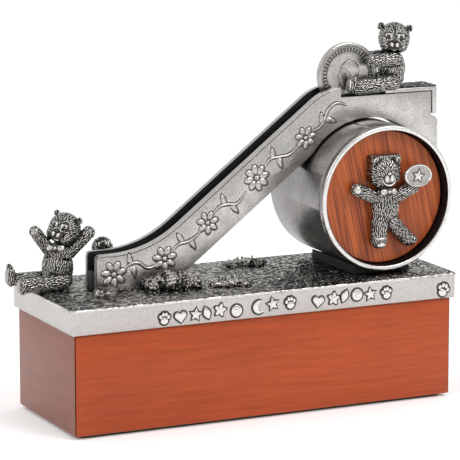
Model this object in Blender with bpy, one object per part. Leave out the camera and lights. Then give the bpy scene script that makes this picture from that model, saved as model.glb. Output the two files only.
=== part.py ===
"""Mechanical bank: a coin rolls down a slide past three bears into a wooden money box."""
import math

import bmesh
import bpy
from mathutils import Vector

MM = 0.001
GAP = 0.3

# Wooden money box
BOX_LENGTH = 150.0
BOX_DEPTH = 53.0
BOX_TOP = 37.3
BOX_FOOT = 1.1
WALL = 10.0
MITRE_GAP = 0.2
REBATE_HALF_LENGTH = 70.3
REBATE_HALF_DEPTH = 21.8
FLOOR_BOARD = 6.0
LID_BOARD = 6.0
FELT = 0.8

# Stopper that closes the coin exit in the underside
STOPPER_X = -38.0
EXIT_RADIUS = 14.0
FLANGE_RADIUS = 15.4

# Cast deck
DECK_HALF_LENGTH = 76.45
DECK_HALF_DEPTH = 27.95
DECK_TOP = 47.0
DECK_UNDERSIDE = 45.0
SKIRT_FOOT = 37.6
SKIRT_WALL = 1.8
DECK_CORNER = 2.0

# Slide: two cheeks with a rail between them
CHEEK_OUT = 5.4
CHEEK_IN = 3.2
SLIDE_ANGLE = math.radians(37.5)
MOUTH_X = -57.4
MOUTH_TOP = 60.7
SLOPE_X = 14.49
SLOPE_TOP_Z = 100.28
SLOPE_FOOT_X = 16.72
SLOPE_FOOT_Z = 82.25
VALLEY_RADIUS = 42.0
GUARD_X = 40.0
GUARD_TOP = 115.0
TOWER_TOP = 111.3
TOWER_END = 77.8
TOWER_SKIRT_END = 80.6
RAIL_HALF = 2.9
RAIL_END = -25.7
RAIL_THICK = 4.0
CREST_RADIUS = 35.0
CREST_FLOOR = 106.25

# Drum under the tower
DRUM_X = 51.3
DRUM_Z = 75.5
DRUM_RADIUS = 26.8
DRUM_HALF_LENGTH = 21.5
DRUM_RECESS_RADIUS = 24.95
DRUM_BORE = 23.3
DISC_RADIUS = 24.6
DISC_FRONT = -17.1
DISC_BACK = -12.3
SADDLE_CUT = 27.8

# Coin
COIN_RADIUS = 12.15
COIN_HALF = 0.9
COIN_X = 45.2
COIN_Z = 118.7

# Pusher that carries the riding bear
SLED_LEFT = 58.6
SLED_RIGHT = 80.1
SLED_FOOT = 111.6
SLED_TOP = 113.1
THUMB_X = 78.3
THUMB_FOOT = 103.3
TONGUE_FOOT = 106.7
KEEPER_X = 74.0
KEEPER_Z = 108.9
PUSHER_TRAVEL = 10.0

for leftover in list(bpy.data.objects):
    bpy.data.objects.remove(leftover, do_unlink=True)

parts = bpy.data.collections.new("mechanical_bank")
cutters = bpy.data.collections.new("cutters")
bpy.context.scene.collection.children.link(parts)
bpy.context.scene.collection.children.link(cutters)
cutters.hide_render = True


def finish(name, colour, roughness, metallic):
    material = bpy.data.materials.new(name)
    material.use_nodes = True
    shader = material.node_tree.nodes["Principled BSDF"]
    shader.inputs["Base Color"].default_value = (*colour, 1.0)
    shader.inputs["Roughness"].default_value = roughness
    shader.inputs["Metallic"].default_value = metallic
    material.diffuse_color = (*colour, 1.0)
    return material


PEWTER = finish("satin_pewter", (0.56, 0.54, 0.51), 0.36, 1.0)
DARK_PEWTER = finish("darkened_pewter", (0.22, 0.21, 0.20), 0.48, 1.0)
TURF_PEWTER = finish("turf_pewter", (0.30, 0.29, 0.27), 0.52, 1.0)
BLACK_PEWTER = finish("blackened_pewter", (0.05, 0.05, 0.05), 0.55, 1.0)
STAINED_WOOD = finish("stained_wood", (0.36, 0.085, 0.03), 0.42, 0.0)
PLAIN_WOOD = finish("plain_wood", (0.45, 0.27, 0.13), 0.6, 0.0)
DISC_WOOD = finish("disc_wood", (0.34, 0.09, 0.03), 0.4, 0.0)
FELT_CLOTH = finish("felt_cloth", (0.03, 0.06, 0.045), 0.95, 0.0)
RUBBER = finish("black_rubber", (0.02, 0.02, 0.02), 0.8, 0.0)
STEEL = finish("screw_steel", (0.55, 0.55, 0.56), 0.3, 1.0)
COIN_ALLOY = finish("coin_alloy", (0.5, 0.49, 0.46), 0.3, 1.0)


def place(name, mesh, material, collection=parts):
    thing = bpy.data.objects.new(name, mesh)
    collection.objects.link(thing)
    if material is not None:
        mesh.materials.append(material)
    return thing


def solid(name, corners, faces, material, collection=parts):
    mesh = bpy.data.meshes.new(name)
    mesh.from_pydata([tuple(c * MM for c in corner) for corner in corners], [], faces)
    shape = bmesh.new()
    shape.from_mesh(mesh)
    bmesh.ops.remove_doubles(shape, verts=shape.verts, dist=0.005 * MM)
    bmesh.ops.recalc_face_normals(shape, faces=shape.faces)
    shape.to_mesh(mesh)
    shape.free()
    return place(name, mesh, material, collection)


def prism(name, outline, low, high, axis, material, collection=parts):
    """Outline swept along an axis; outline pairs are the two other axes in x, y, z order."""
    def corner(pair, level):
        spot = list(pair)
        spot.insert("XYZ".index(axis), level)
        return tuple(spot)

    count = len(outline)
    corners = [corner(p, low) for p in outline] + [corner(p, high) for p in outline]
    faces = [tuple(range(count)), tuple(range(2 * count - 1, count - 1, -1))]
    for i in range(count):
        j = (i + 1) % count
        faces.append((i, j, count + j, count + i))
    return solid(name, corners, faces, material, collection)


def block(name, low, high, material, collection=parts):
    outline = [(low[0], low[1]), (high[0], low[1]), (high[0], high[1]), (low[0], high[1])]
    return prism(name, outline, low[2], high[2], "Z", material, collection)


def turned(name, profile, centre, axis, sides, material, collection=parts, squash=1.0):
    """Profile of (radius, height) pairs spun about an axis through centre."""
    corners, rings = [], []
    for radius, height in profile:
        ring = []
        for i in range(sides if radius > 1e-6 else 1):
            angle = 2.0 * math.pi * i / sides
            spot = [radius * math.cos(angle), squash * radius * math.sin(angle)]
            spot.insert("XYZ".index(axis), height)
            ring.append(len(corners))
            corners.append(tuple(a + b for a, b in zip(spot, centre)))
        rings.append(ring)
    closed = profile[0][0] > 1e-6
    pairs = list(zip(rings, rings[1:])) + ([(rings[-1], rings[0])] if closed else [])
    faces = []
    for lower, upper in pairs:
        for i in range(sides):
            j = (i + 1) % sides
            quad = (lower[i % len(lower)], lower[j % len(lower)],
                    upper[j % len(upper)], upper[i % len(upper)])
            faces.append(tuple(dict.fromkeys(quad)))
    return solid(name, corners, faces, material, collection)


def cut(thing, tool, operation="DIFFERENCE"):
    step = thing.modifiers.new(tool.name, "BOOLEAN")
    step.operation = operation
    step.solver = "EXACT"
    step.object = tool
    tool.hide_render = True
    tool.display_type = "WIRE"


def cutter_block(name, low, high):
    return block(name, low, high, None, cutters)


def cutter_rod(name, radius, low, high, centre, axis, sides=20):
    profile = [(0.0, low), (radius, low), (radius, high), (0.0, high)]
    return turned(name, profile, centre, axis, sides, None, cutters)


def fuse(name, forms, material, trims=()):
    """Joins overlapping forms into one casting, then trims it."""
    base = forms[0]
    for form in forms[1:]:
        cut(base, form, "UNION")
    for trim in trims:
        cut(base, trim)
    bpy.context.view_layer.update()
    ready = base.evaluated_get(bpy.context.evaluated_depsgraph_get())
    mesh = bpy.data.meshes.new_from_object(ready)
    mesh.name = name
    mesh.materials.clear()
    for form in list(forms) + list(trims):
        bpy.data.objects.remove(form, do_unlink=True)
    shape = bmesh.new()
    shape.from_mesh(mesh)
    bmesh.ops.remove_doubles(shape, verts=shape.verts, dist=0.02 * MM)
    bmesh.ops.dissolve_degenerate(shape, edges=shape.edges, dist=0.01 * MM)
    bmesh.ops.triangulate(shape, faces=shape.faces)
    shape.to_mesh(mesh)
    shape.free()
    return place(name, mesh, material)


def egg(centre, radii, sides=12, rings=8):
    """Ellipsoid form."""
    corners = [(centre[0], centre[1], centre[2] - radii[2])]
    for i in range(1, rings):
        tilt = math.pi * i / rings
        for j in range(sides):
            turn = 2.0 * math.pi * (j + 0.5 * (i % 2)) / sides
            corners.append((centre[0] + radii[0] * math.sin(tilt) * math.cos(turn),
                            centre[1] + radii[1] * math.sin(tilt) * math.sin(turn),
                            centre[2] - radii[2] * math.cos(tilt)))
    corners.append((centre[0], centre[1], centre[2] + radii[2]))
    faces, top = [], len(corners) - 1
    for j in range(sides):
        k = (j + 1) % sides
        faces.append((0, 1 + k, 1 + j))
        faces.append((top, top - sides + j, top - sides + k))
    for i in range(rings - 2):
        for j in range(sides):
            k = (j + 1) % sides
            low, high = 1 + i * sides, 1 + (i + 1) * sides
            if i % 2:
                faces.append((low + j, low + k, high + j))
                faces.append((low + k, high + k, high + j))
            else:
                faces.append((low + j, high + k, high + j))
                faces.append((low + j, low + k, high + k))
    return solid("form", corners, faces, None, cutters)


def limb(start, end, start_radius, end_radius, sides=10):
    """Round-ended arm or leg form."""
    a, b = Vector(start), Vector(end)
    along = (b - a).normalized()
    side = along.orthogonal().normalized()
    other = along.cross(side)
    corners = [tuple(a - along * start_radius)]
    rings = [(a - along * 0.7 * start_radius, 0.71 * start_radius), (a, start_radius),
             (b, end_radius), (b + along * 0.7 * end_radius, 0.71 * end_radius)]
    for centre, radius in rings:
        for j in range(sides):
            turn = 2.0 * math.pi * j / sides
            corners.append(tuple(centre + radius * (side * math.cos(turn)
                                                    + other * math.sin(turn))))
    corners.append(tuple(b + along * end_radius))
    faces, top = [], len(corners) - 1
    for j in range(sides):
        k = (j + 1) % sides
        faces.append((0, 1 + k, 1 + j))
        faces.append((top, top - sides + j, top - sides + k))
        for i in range(len(rings) - 1):
            low = 1 + i * sides
            faces.append((low + j, low + k, low + sides + k, low + sides + j))
    return solid("form", corners, faces, None, cutters)


def set_origin(thing, point):
    """Moves an object's origin to a point given in millimetres."""
    shift = Vector(point) * MM
    for vertex in thing.data.vertices:
        vertex.co -= shift
    thing.location = shift


def arc(centre, radius, start, end, steps):
    """Points on a circle from one angle to another, in degrees."""
    turns = [math.radians(start + (end - start) * i / steps) for i in range(steps + 1)]
    return [(centre[0] + radius * math.cos(t), centre[1] + radius * math.sin(t)) for t in turns]


def rounded_rectangle(half_x, half_y, radius, steps=3):
    points = []
    for sx, sy, start in ((1, 1, 0), (-1, 1, 90), (-1, -1, 180), (1, -1, 270)):
        centre = (sx * (half_x - radius), sy * (half_y - radius))
        points += arc(centre, radius, start, start + 90, steps)
    return points


def screw(name, centre, head_radius, head, shank_radius, length, direction=1.0):
    """Countersunk-free pan screw: head height, then shank, along Z."""
    profile = [(0.0, 0.0), (head_radius * 0.8, 0.0), (head_radius, 0.35 * head),
               (head_radius, head), (shank_radius, head), (shank_radius, head + length - 0.6),
               (shank_radius * 0.45, head + length), (0.0, head + length)]
    profile = [(r, direction * h) for r, h in profile]
    return turned(name, profile, centre, "Z", 12, STEEL)


# ---- money box -------------------------------------------------------------
half_l, half_d = BOX_LENGTH / 2.0, BOX_DEPTH / 2.0
g = MITRE_GAP
inner_l, inner_d = half_l - WALL, half_d - WALL
front = [(-half_l + g, -half_d), (half_l - g, -half_d),
         (inner_l - g, -inner_d), (-inner_l + g, -inner_d)]
left = [(-half_l, -half_d + g), (-inner_l, -inner_d + g),
        (-inner_l, inner_d - g), (-half_l, half_d - g)]
panels = [prism("front_panel", front, BOX_FOOT, BOX_TOP, "Z", STAINED_WOOD),
          prism("back_panel", [(x, -y) for x, y in front], BOX_FOOT, BOX_TOP, "Z", STAINED_WOOD),
          prism("left_end_panel", left, BOX_FOOT, BOX_TOP, "Z", STAINED_WOOD),
          prism("right_end_panel", [(-x, y) for x, y in left], BOX_FOOT, BOX_TOP, "Z",
                STAINED_WOOD)]
rebate = cutter_block("rebate_cutter", (-REBATE_HALF_LENGTH, -REBATE_HALF_DEPTH, BOX_FOOT - 1.0),
                      (REBATE_HALF_LENGTH, REBATE_HALF_DEPTH, BOX_FOOT + FLOOR_BOARD + GAP))
for panel in panels:
    cut(panel, rebate)

floor_low, floor_high = BOX_FOOT, BOX_FOOT + FLOOR_BOARD
bottom_board = block("bottom_board", (-70.0, -21.5, floor_low), (70.0, 21.5, floor_high), PLAIN_WOOD)
cut(bottom_board, cutter_rod("exit_cutter", EXIT_RADIUS, 0.0, 12.0, (STOPPER_X, 0.0, 0.0), "Z", 36))
cut(bottom_board, cutter_rod("flange_cutter", FLANGE_RADIUS + 0.5, 0.0, floor_low + 1.7,
                             (STOPPER_X, 0.0, 0.0), "Z", 36))

felt_base = prism("felt_base", rounded_rectangle(73.0, 24.5, 3.0), 0.0, FELT, "Z", FELT_CLOTH)
cut(felt_base, cutter_rod("felt_exit_cutter", FLANGE_RADIUS + 0.8, -1.0, 2.0,
                          (STOPPER_X, 0.0, 0.0), "Z", 36))

stopper = turned("rubber_stopper",
                 [(0.0, 1.5), (4.0, 1.5), (5.0, 0.5), (FLANGE_RADIUS - 0.5, 0.5),
                  (FLANGE_RADIUS, 1.0), (FLANGE_RADIUS, 2.4), (EXIT_RADIUS - 0.35, 2.5),
                  (EXIT_RADIUS - 0.5, 7.5), (EXIT_RADIUS - 1.6, 8.6), (0.0, 8.6)],
                 (STOPPER_X, 0.0, 0.0), "Z", 36, RUBBER)
set_origin(stopper, (STOPPER_X, 0.0, 0.5))

LID_LOW = BOX_TOP + GAP
LID_HIGH = LID_LOW + LID_BOARD
top_board = prism("top_board", rounded_rectangle(74.2, 25.7, 1.0, 1), LID_LOW, LID_HIGH, "Z",
                  PLAIN_WOOD)
cut(top_board, cutter_block("board_slot_cutter", (-57.0, -4.6, 30.0), (-23.6, 4.6, 50.0)))

bottom_screw_spots = [(-48.0, -19.1), (48.0, -19.1), (-48.0, 19.1), (48.0, 19.1)]
for number, (x, y) in enumerate(bottom_screw_spots, 1):
    screw(f"bottom_screw_{number}", (x, y, floor_low + 0.4), 2.6, 1.6, 1.0, 12.0)
    cut(bottom_board, cutter_rod(f"bottom_head_cutter_{number}", 2.9, floor_low - 1.0,
                                 floor_low + 2.3, (x, y, 0.0), "Z", 12))
    hole = cutter_rod(f"bottom_hole_cutter_{number}", 1.3, 0.0, floor_low + 14.4,
                      (x, y, 0.0), "Z", 12)
    cut(bottom_board, hole)
    cut(panels[0] if y < 0 else panels[1], hole)

lid_screw_spots = [(-58.0, -21.3), (58.0, -21.3), (-58.0, 21.3), (58.0, 21.3)]
for number, (x, y) in enumerate(lid_screw_spots, 1):
    screw(f"lid_screw_{number}", (x, y, LID_HIGH - 0.1), 2.6, 1.6, 1.0, 14.0, -1.0)
    cut(top_board, cutter_rod(f"lid_head_cutter_{number}", 2.9, LID_HIGH - 2.0, LID_HIGH + 1.0,
                              (x, y, 0.0), "Z", 12))
    hole = cutter_rod(f"lid_hole_cutter_{number}", 1.3, LID_HIGH - 16.2, LID_HIGH + 1.0,
                      (x, y, 0.0), "Z", 12)
    cut(top_board, hole)
    cut(panels[0] if y < 0 else panels[1], hole)

# ---- cast deck --------------------------------------------------------------
deck = prism("deck_cap", rounded_rectangle(DECK_HALF_LENGTH, DECK_HALF_DEPTH, DECK_CORNER),
             SKIRT_FOOT, DECK_TOP, "Z", TURF_PEWTER)
hollow = prism("deck_hollow_cutter",
               rounded_rectangle(DECK_HALF_LENGTH - SKIRT_WALL, DECK_HALF_DEPTH - SKIRT_WALL, 1.0, 1),
               SKIRT_FOOT - 2.0, DECK_UNDERSIDE, "Z", None, cutters)
cut(deck, hollow)
cut(deck, cutter_block("coin_slot_cutter", (-54.6, -RAIL_HALF, 40.0), (-26.0, RAIL_HALF, 50.0)))
boss_spots = [(-61.5, -12.0), (61.5, -12.0), (-61.5, 12.0), (61.5, 12.0)]
for number, (x, y) in enumerate(boss_spots, 1):
    boss = cutter_rod(f"deck_boss_{number}", 3.0, LID_HIGH + GAP, DECK_UNDERSIDE + 0.6,
                      (x, y, 0.0), "Z", 14)
    cut(deck, boss, "UNION")
    hole = cutter_rod(f"deck_hole_cutter_{number}", 1.3, 36.0, 46.2, (x, y, 0.0), "Z", 12)
    cut(deck, hole)
    cut(top_board, hole)
    screw(f"deck_screw_{number}", (x, y, LID_LOW - 1.9), 2.6, 1.6, 1.0, 8.0)

# ---- slide and tower ----------------------------------------------------------
slope = math.tan(SLIDE_ANGLE)
cosine, sine = math.cos(SLIDE_ANGLE), math.sin(SLIDE_ANGLE)


def top_line(x):
    return SLOPE_TOP_Z + slope * (x - SLOPE_X)


def foot_line(x):
    return SLOPE_FOOT_Z + slope * (x - SLOPE_FOOT_X)


def valley(level, radius, lift, steps):
    """Concave bend from a level run up to the slope, lift above the cheek's top line."""
    meet = SLOPE_X + (level - lift - SLOPE_TOP_Z) / slope
    start = meet - radius * math.tan(SLIDE_ANGLE / 2.0)
    return arc((start, level + radius), radius, -90.0, -90.0 + math.degrees(SLIDE_ANGLE), steps)


crest_meet = SLOPE_X + (GUARD_TOP - SLOPE_TOP_Z) / slope
crest_bend = (GUARD_X - crest_meet) / math.tan(SLIDE_ANGLE / 2.0)
guard_curve = arc((GUARD_X, GUARD_TOP - crest_bend), crest_bend,
                  90.0 + math.degrees(SLIDE_ANGLE), 90.0, 5)
drum_centre = (DRUM_X, DRUM_Z)
saddle_arc = arc(drum_centre, SADDLE_CUT, 18.0, 145.5, 22)
meet_x = (DECK_TOP + GAP - SLOPE_FOOT_Z) / slope + SLOPE_FOOT_X
cheek_outline = ([(MOUTH_X, DECK_TOP + GAP), (meet_x, DECK_TOP + GAP)]
                 + [(saddle_arc[-1][0], foot_line(saddle_arc[-1][0]))]
                 + saddle_arc[::-1]
                 + [(TOWER_SKIRT_END, saddle_arc[0][1]), (TOWER_SKIRT_END, 100.4),
                    (79.6, 101.7), (TOWER_END, 102.5), (TOWER_END, TOWER_TOP),
                    (GUARD_X, TOWER_TOP)]
                 + guard_curve[::-1]
                 + valley(MOUTH_TOP, VALLEY_RADIUS, 0.0, 8)[::-1]
                 + arc((MOUTH_X + 1.6, MOUTH_TOP - 1.6), 1.6, 90.0, 180.0, 3))
near_cheek = prism("near_cheek", cheek_outline, -CHEEK_OUT, -CHEEK_IN, "Y", PEWTER)
far_cheek = prism("far_cheek", cheek_outline, CHEEK_IN, CHEEK_OUT, "Y", PEWTER)

floor_centre = (COIN_X, CREST_FLOOR - CREST_RADIUS)
crest_arc = arc(floor_centre, CREST_RADIUS, 90.0 + math.degrees(SLIDE_ANGLE), 90.0, 10)
floor_drop = top_line(crest_arc[0][0]) - crest_arc[0][1]
mouth_floor = 54.0


def floor_z(x):
    if x < crest_arc[0][0]:
        return top_line(x) - floor_drop
    if x < COIN_X:
        return floor_centre[1] + math.sqrt(CREST_RADIUS ** 2 - (x - COIN_X) ** 2)
    return CREST_FLOOR


rail_left_floor = floor_z(RAIL_END)
rail_top = [(RAIL_END, rail_left_floor)] + crest_arc + [(77.5, CREST_FLOOR), (77.5, 102.3),
                                                        (79.4, 101.4), (80.3, 100.2),
                                                        (80.3, saddle_arc[0][1])]
rail_foot = [p for p in saddle_arc if p[0] > DRUM_X or p[1] > floor_z(p[0]) - RAIL_THICK]
underside_end = rail_foot[-1][0] - 1.0
rail_under = [(x, floor_z(x) - RAIL_THICK) for x in (underside_end - 2.0, 36.0, 32.0, 28.0,
                                                     crest_arc[0][0], RAIL_END)]
rail = prism("channel_rail", rail_top + rail_foot + rail_under, -RAIL_HALF, RAIL_HALF, "Y",
             BLACK_PEWTER)
coin_stop = block("coin_stop", (MOUTH_X, -RAIL_HALF, DECK_TOP + GAP),
                  (-55.0, RAIL_HALF, mouth_floor), BLACK_PEWTER)

keeper_pin = turned("keeper_pin", [(0.0, -4.3), (1.0, -4.3), (1.0, 4.3), (0.0, 4.3)],
                    (KEEPER_X, 0.0, KEEPER_Z), "Y", 14, STEEL)
keeper_hole = cutter_rod("keeper_hole_cutter", 1.25, -4.6, 4.6, (KEEPER_X, 0.0, KEEPER_Z), "Y", 14)
cut(near_cheek, keeper_hole)
cut(far_cheek, keeper_hole)

# ---- drum -------------------------------------------------------------------
drum_profile = [(DRUM_RADIUS - 0.4, -DRUM_HALF_LENGTH), (DRUM_RADIUS, -DRUM_HALF_LENGTH + 0.4),
                (DRUM_RADIUS, DRUM_HALF_LENGTH - 0.4), (DRUM_RADIUS - 0.4, DRUM_HALF_LENGTH),
                (DRUM_RECESS_RADIUS, DRUM_HALF_LENGTH), (DRUM_RECESS_RADIUS, 16.0),
                (DRUM_BORE, 16.0), (DRUM_BORE, DISC_BACK + GAP),
                (DRUM_RECESS_RADIUS, DISC_BACK + GAP), (DRUM_RECESS_RADIUS, -DRUM_HALF_LENGTH)]
drum = turned("drum_shell", drum_profile, (DRUM_X, 0.0, DRUM_Z), "Y", 56, PEWTER)
disc_profile = [(0.0, DISC_FRONT), (DISC_RADIUS, DISC_FRONT), (DISC_RADIUS, DISC_BACK),
                (0.0, DISC_BACK)]
wood_disc = turned("wood_disc", disc_profile, (DRUM_X, 0.0, DRUM_Z), "Y", 56, DISC_WOOD)
back_profile = [(0.0, 16.3), (DISC_RADIUS, 16.3), (DISC_RADIUS, 18.6), (0.0, 18.6)]
turned("drum_back_plate", back_profile, (DRUM_X, 0.0, DRUM_Z), "Y", 56, PEWTER)

saddle_top = arc(drum_centre, DRUM_RADIUS + GAP, -65.0, -115.0, 8)
saddle = prism("drum_saddle", [(saddle_top[-1][0], DECK_TOP + GAP),
                               (saddle_top[0][0], DECK_TOP + GAP)] + saddle_top,
               -17.0, 17.0, "Y", BLACK_PEWTER)
for number, y in enumerate((-9.0, 9.0), 1):
    screw(f"drum_screw_{number}", (DRUM_X, y, LID_LOW - 1.9), 2.6, 1.6, 1.0, 13.4)
    hole = cutter_rod(f"drum_hole_cutter_{number}", 1.3, 36.0, 51.3, (DRUM_X, y, 0.0), "Z", 12)
    for piece in (top_board, deck, saddle, drum):
        cut(piece, hole)

# ---- emblem on the drum --------------------------------------------------------
emblem_forms = [egg((51.5, -19.4, 72.8), (5.1, 3.0, 7.2)),
                egg((50.5, -19.6, 85.7), (6.4, 3.6, 6.1)),
                egg((45.6, -19.2, 90.2), (1.9, 1.5, 1.9), 8, 6),
                egg((55.6, -19.2, 89.9), (1.9, 1.5, 1.9), 8, 6),
                egg((52.1, -22.2, 82.6), (2.5, 1.7, 2.1), 8, 6),
                limb((46.6, -19.2, 76.4), (39.3, -19.2, 79.6), 2.3, 2.1),
                limb((56.0, -19.2, 76.6), (62.2, -19.2, 79.4), 2.3, 2.0),
                limb((48.9, -19.3, 67.5), (49.4, -19.3, 60.6), 2.9, 2.8),
                limb((54.3, -19.2, 67.2), (60.6, -19.2, 60.8), 2.7, 2.5)]
emblem_back = cutter_block("emblem_back_cutter", (30.0, DISC_FRONT - GAP, 50.0), (75.0, -5.0, 100.0))
pin_spots = [(51.5, 72.8), (50.5, 85.7)]
emblem_holes = [cutter_rod(f"emblem_hole_cutter_{i}", 1.25, -20.6, -10.0, (x, 0.0, z), "Y", 12)
                for i, (x, z) in enumerate(pin_spots, 1)]
fuse("emblem_bear", emblem_forms, DARK_PEWTER, [emblem_back] + emblem_holes)
for number, (x, z) in enumerate(pin_spots, 1):
    turned(f"emblem_pin_{number}", [(0.0, -20.3), (0.95, -20.3), (0.95, -10.4), (0.0, -10.4)],
           (x, 0.0, z), "Y", 12, STEEL)
    cut(wood_disc, cutter_rod(f"disc_hole_cutter_{number}", 1.25, -18.0, -11.0, (x, 0.0, z), "Y", 12))
    turned(f"pin_washer_{number}", [(1.25, -12.0), (2.9, -12.0), (2.9, -11.3), (1.25, -11.3)],
           (x, 0.0, z), "Y", 16, STEEL)
turned("emblem_coin_sign", [(0.0, -23.4), (5.0, -23.4), (5.6, -23.0), (5.6, -21.9), (0.0, -21.9)],
       (64.3, 0.0, 83.1), "Y", 24, PEWTER, squash=0.76)

# ---- pusher and riding bear -------------------------------------------------------
pusher_origin = (70.0, 0.0, TOWER_TOP)
sled = fuse("pusher_sled",
            [block("form", (SLED_LEFT, -CHEEK_OUT, SLED_FOOT), (SLED_RIGHT, CHEEK_OUT, SLED_TOP),
                   None, cutters),
             block("form", (THUMB_X, -CHEEK_OUT, THUMB_FOOT), (SLED_RIGHT, CHEEK_OUT, 112.4),
                   None, cutters),
             block("form", (60.6, -2.6, TONGUE_FOOT), (79.0, 2.6, 112.2), None, cutters)],
            PEWTER,
            [prism("form", arc((KEEPER_X - PUSHER_TRAVEL, KEEPER_Z), 1.2, 90.0, 270.0, 6)
                   + arc((KEEPER_X, KEEPER_Z), 1.2, -90.0, 90.0, 6), -4.0, 4.0, "Y", None, cutters)])
set_origin(sled, pusher_origin)

seat = turned("form", [(0.0, SLED_TOP + GAP), (4.2, SLED_TOP + GAP), (4.6, 117.5), (0.0, 117.5)],
              (64.4, 0.0, 0.0), "Z", 12, None, cutters)
rider_forms = [egg((64.4, 0.0, 120.0), (5.1, 4.8, 6.9)), seat,
               egg((64.8, 0.0, 130.6), (6.0, 5.7, 5.9)),
               egg((62.9, -3.9, 128.4), (2.5, 2.5, 2.2), 8, 6),
               egg((60.6, 2.6, 134.9), (2.0, 1.6, 2.2), 8, 6),
               egg((69.5, -1.8, 134.0), (2.0, 1.6, 2.0), 8, 6),
               limb((63.6, -4.2, 124.8), (53.4, -3.5, 124.1), 2.3, 2.1),
               limb((63.6, 4.2, 124.8), (53.4, 3.5, 124.1), 2.3, 2.1),
               limb((62.6, -4.7, 115.8), (46.8, -4.8, 115.0), 3.1, 2.8),
               limb((62.6, 4.7, 115.8), (46.8, 4.8, 115.0), 3.1, 2.8),
               egg((45.0, -4.9, 115.6), (1.9, 2.8, 3.5), 10, 6),
               egg((45.0, 4.9, 115.6), (1.9, 2.8, 3.5), 10, 6)]
rider_trims = [cutter_block("rider_sled_cutter", (SLED_LEFT - 0.4, -9.0, 105.0),
                            (90.0, 9.0, SLED_TOP + GAP)),
               cutter_block("rider_channel_cutter", (30.0, -1.25, 105.0), (57.8, 1.25, 128.0)),
               cutter_block("rider_cheek_cutter", (30.0, -9.0, 105.0),
                            (SLED_LEFT - 0.3, 9.0, SLED_FOOT + 0.2))]
rider = fuse("rider_bear", rider_forms, DARK_PEWTER, rider_trims)
set_origin(rider, pusher_origin)

# ---- coin ---------------------------------------------------------------------
coin = turned("coin",
              [(0.0, -0.75), (10.9, -0.75), (11.1, -COIN_HALF), (COIN_RADIUS - 0.15, -COIN_HALF),
               (COIN_RADIUS, -0.75), (COIN_RADIUS, 0.75), (COIN_RADIUS - 0.15, COIN_HALF),
               (11.1, COIN_HALF), (10.9, 0.75), (0.0, 0.75)],
              (COIN_X, 0.0, COIN_Z), "Y", 48, COIN_ALLOY)
set_origin(coin, (COIN_X, 0.0, floor_centre[1]))

# ---- reclining bear --------------------------------------------------------------
recline_forms = [egg((-66.3, 10.0, 54.8), (5.8, 5.5, 7.5)),
                 egg((-64.2, 8.0, 68.7), (6.2, 6.0, 6.0)),
                 egg((-68.3, 6.3, 66.7), (2.4, 2.3, 2.1), 8, 6),
                 egg((-66.4, 9.9, 74.4), (1.5, 1.3, 1.7), 8, 6),
                 egg((-59.6, 6.4, 71.8), (1.5, 1.5, 1.7), 8, 6),
                 limb((-69.4, 9.2, 60.6), (-76.2, 7.0, 69.3), 2.2, 2.0),
                 limb((-63.8, 6.6, 60.4), (-55.8, 5.6, 67.4), 2.3, 2.1),
                 limb((-65.0, 6.2, 50.3), (-81.4, 3.2, 50.3), 2.9, 2.6),
                 limb((-67.5, 13.4, 50.3), (-80.2, 15.2, 50.3), 2.9, 2.5),
                 egg((-83.2, 2.9, 50.6), (1.8, 2.7, 3.1), 10, 6),
                 egg((-82.6, 15.3, 51.6), (1.8, 2.7, 4.0), 10, 6)]
recline_trim = cutter_block("recline_cutter", (-90.0, -10.0, 40.0), (-40.0, 30.0, DECK_TOP + GAP))
fuse("reclining_bear", recline_forms, DARK_PEWTER, [recline_trim])

# ---- planting on the deck ------------------------------------------------------------
planting = [("flower_bush", [((-38.0, -10.6, 48.6), (4.0, 4.4, 4.0)),
                             ((-32.4, -10.4, 49.6), (4.6, 4.4, 4.4)),
                             ((-26.4, -10.6, 49.0), (4.4, 4.4, 4.2)),
                             ((-21.6, -11.0, 48.2), (3.0, 3.4, 2.8))]),
            ("mouth_blooms", [((-58.6, -10.0, 47.9), (2.5, 2.4, 2.0)),
                              ((-54.4, -10.6, 47.9), (2.5, 2.4, 1.8))]),
            ("front_leaf_clump", [((-13.2, -12.0, 47.8), (3.6, 2.8, 1.7)),
                                  ((-8.6, -13.6, 48.0), (4.2, 3.2, 2.0)),
                                  ((-4.2, -15.0, 47.7), (3.2, 2.6, 1.5))]),
            ("back_leaf_clump", [((7.0, 17.0, 47.8), (3.8, 3.0, 1.9)),
                                 ((12.0, 16.2, 48.0), (4.2, 3.4, 2.3)),
                                 ((16.4, 15.0, 47.7), (3.0, 2.6, 1.6))]),
            ("rear_shrub", [((-48.4, 10.9, 52.4), (4.4, 4.2, 6.6)),
                            ((-48.4, 10.9, 60.2), (3.7, 3.5, 3.9))])]
for name, eggs in planting:
    trim = cutter_block("planting_cutter", (-80.0, -40.0, 30.0), (40.0, 40.0, DECK_TOP + GAP))
    fuse(name, [egg(centre, radii, 10, 6) for centre, radii in eggs], TURF_PEWTER, [trim])

print("objects:", len(parts.objects))
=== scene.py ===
import math
import random

import bmesh
import bpy
import numpy as np
from mathutils import Matrix, Vector, noise
from mathutils.kdtree import KDTree


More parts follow.
